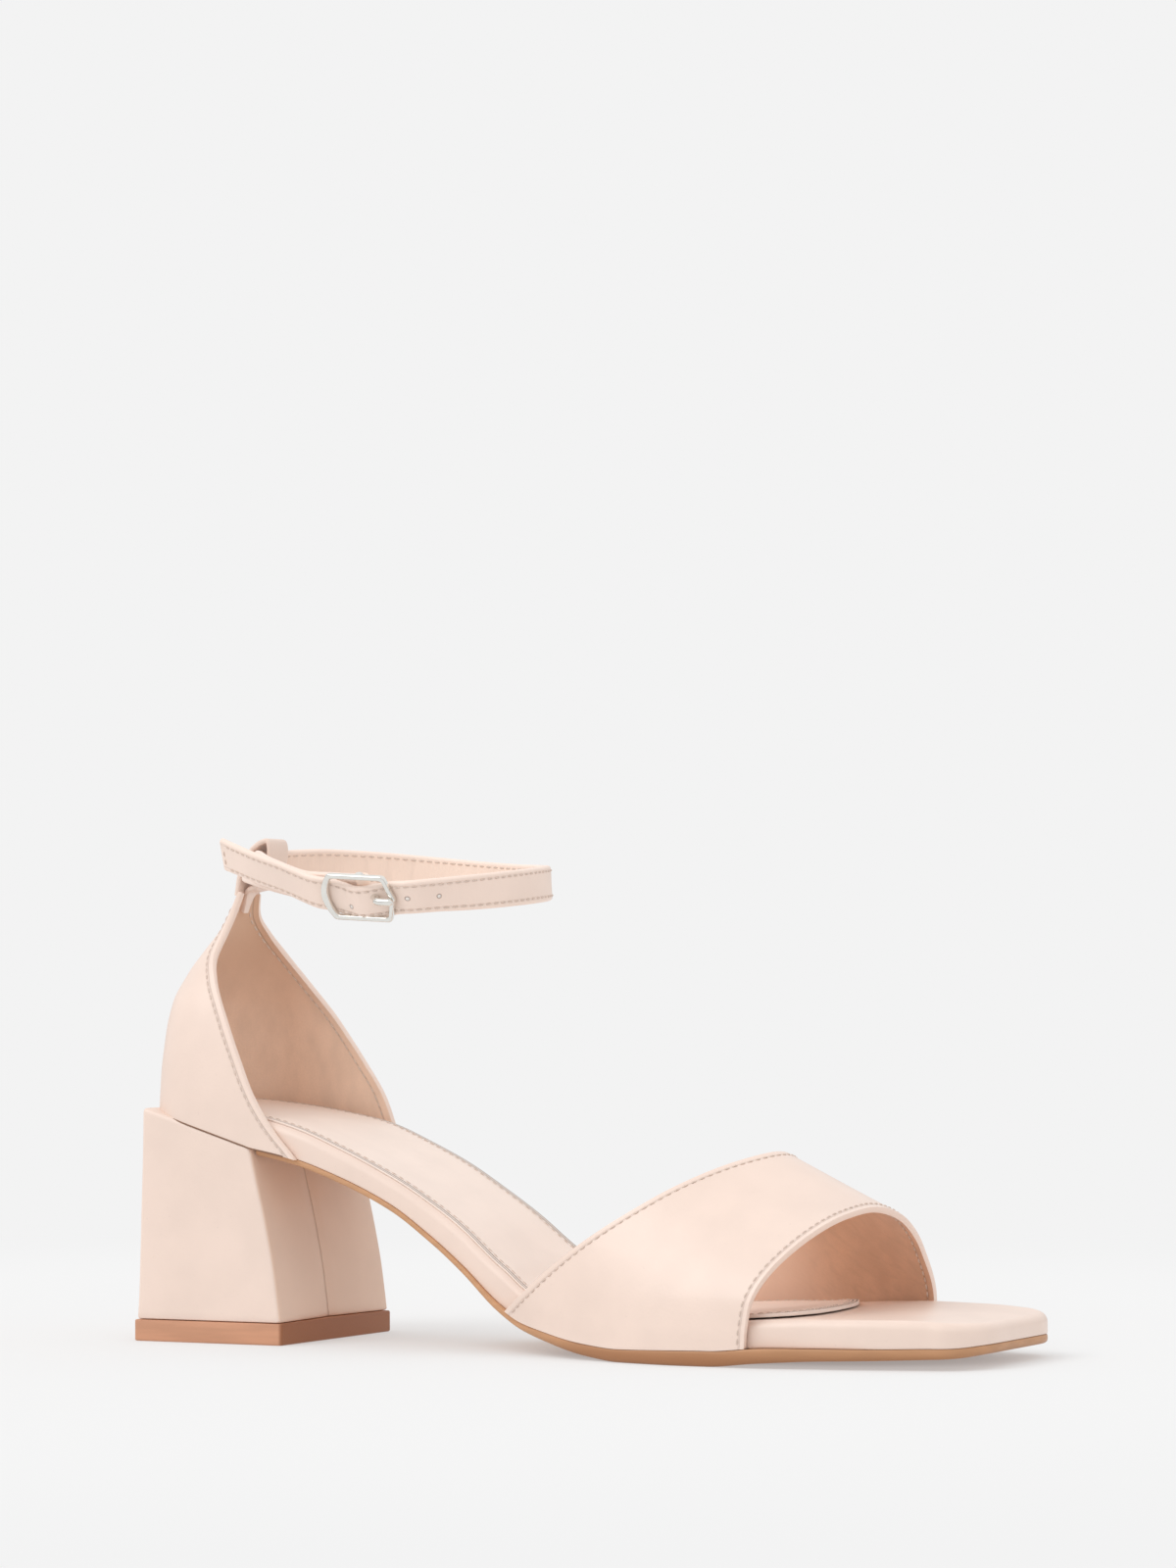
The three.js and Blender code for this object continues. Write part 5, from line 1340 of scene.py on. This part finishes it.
# Camera
CAMERA_PLACE = (0.61422, -0.97124, 0.0862)
CAMERA_LENS = 98.505
ROLL = math.radians(0.35)
forward = Vector((-0.46860, 0.88185, 0.05236)).normalized()
right = forward.cross(Vector((0, 0, 1))).normalized()
above = right.cross(forward)
turned_right = right * math.cos(ROLL) - above * math.sin(ROLL)
turned_above = above * math.cos(ROLL) + right * math.sin(ROLL)
camera = bpy.data.objects.new("camera", bpy.data.cameras.new("camera"))
camera.data.sensor_width = 36
camera.data.lens = CAMERA_LENS
camera.data.clip_start, camera.data.clip_end = 0.01, 50
rotation = Matrix((turned_right, turned_above, -forward)).transposed()
camera.matrix_world = Matrix.Translation(CAMERA_PLACE) @ rotation.to_4x4()
bpy.context.scene.collection.objects.link(camera)
bpy.context.scene.camera = camera

# Stage: a pale sweep that glows a little, less under the forefoot, and far away as much as the backdrop
BACKDROP = 0.896
FLOOR_GLOW = 0.46
FOREFOOT_GLOW = 0.7
FOREFOOT_MIDDLE = (140, 2, 0)
FOREFOOT_HALVES = (76, 36)
sweep = Graph("sweep", Roughness=1.0, Specular_IOR_Level=0.0)
sweep.shader.inputs["Base Color"].default_value = (0.83, 0.83, 0.83, 1)
glow = sweep.add("ShaderNodeEmission", {"Color": (BACKDROP, BACKDROP, BACKDROP, 1), "Strength": 1.0})
to_forefoot = sweep.add("ShaderNodeVectorMath", {0: sweep.place, 1: FOREFOOT_MIDDLE}, operation="SUBTRACT")
halves = tuple(1 / half for half in FOREFOOT_HALVES) + (0,)
from_forefoot = sweep.length(sweep.scaled(to_forefoot.outputs[0], halves))
share = sweep.times(
    sweep.remap(sweep.length(sweep.place), 260, 520, FLOOR_GLOW, 1.0),
    sweep.remap(from_forefoot, 0.75, 1.08, FOREFOOT_GLOW, 1.0),
)
mixed = sweep.add("ShaderNodeMixShader", {0: share, 1: sweep.shader.outputs[0], 2: glow.outputs[0]})
sweep.tree.links.new(mixed.outputs[0], sweep.tree.nodes["Material Output"].inputs["Surface"])
floor_mesh = bpy.data.meshes.new("floor")
floor_mesh.from_pydata([(-20, -20, 0), (20, -20, 0), (20, 20, 0), (-20, 20, 0)], [], [(0, 1, 2, 3)])
floor = bpy.data.objects.new("floor", floor_mesh)
floor_mesh.materials.append(sweep.material)
bpy.context.scene.collection.objects.link(floor)

# Light: a bright ceiling over a dimmer horizon, and one large soft lamp from the upper left
world = bpy.data.worlds.new("studio")
bpy.context.scene.world = world
world.use_nodes = True
tree = world.node_tree
background = tree.nodes["Background"]
direction = tree.nodes.new("ShaderNodeSeparateXYZ")
tree.links.new(tree.nodes.new("ShaderNodeTexCoord").outputs["Generated"], direction.inputs[0])
ramp = tree.nodes.new("ShaderNodeValToRGB")
for position, level in ((0.0, 0.5), (0.12, 0.62), (0.35, 0.95), (1.0, 1.12)):
    stop = ramp.color_ramp.elements[0] if position == 0 else ramp.color_ramp.elements.new(position)
    if position == 1:
        stop = ramp.color_ramp.elements[-1]
    stop.position = position
    stop.color = (level, level, level, 1)
tree.links.new(direction.outputs[2], ramp.inputs[0])
seen = tree.nodes.new("ShaderNodeLightPath")
mix = tree.nodes.new("ShaderNodeMix")
mix.data_type = "RGBA"
tree.links.new(seen.outputs["Is Camera Ray"], mix.inputs[0])
tree.links.new(ramp.outputs[0], mix.inputs[6])
mix.inputs[7].default_value = (BACKDROP, BACKDROP, BACKDROP, 1)
tree.links.new(mix.outputs[2], background.inputs["Color"])
background.inputs["Strength"].default_value = 1.0


def sun(name, toward, energy, spread):
    lamp = bpy.data.objects.new(name, bpy.data.lights.new(name, "SUN"))
    lamp.data.energy = energy
    lamp.data.angle = math.radians(spread)
    lamp.rotation_euler = Vector(toward).to_track_quat("Z", "Y").to_euler()
    bpy.context.scene.collection.objects.link(lamp)


sun("key", (-0.4, -0.55, 0.72), 0.75, 35)

bpy.context.scene.view_settings.view_transform = "Standard"
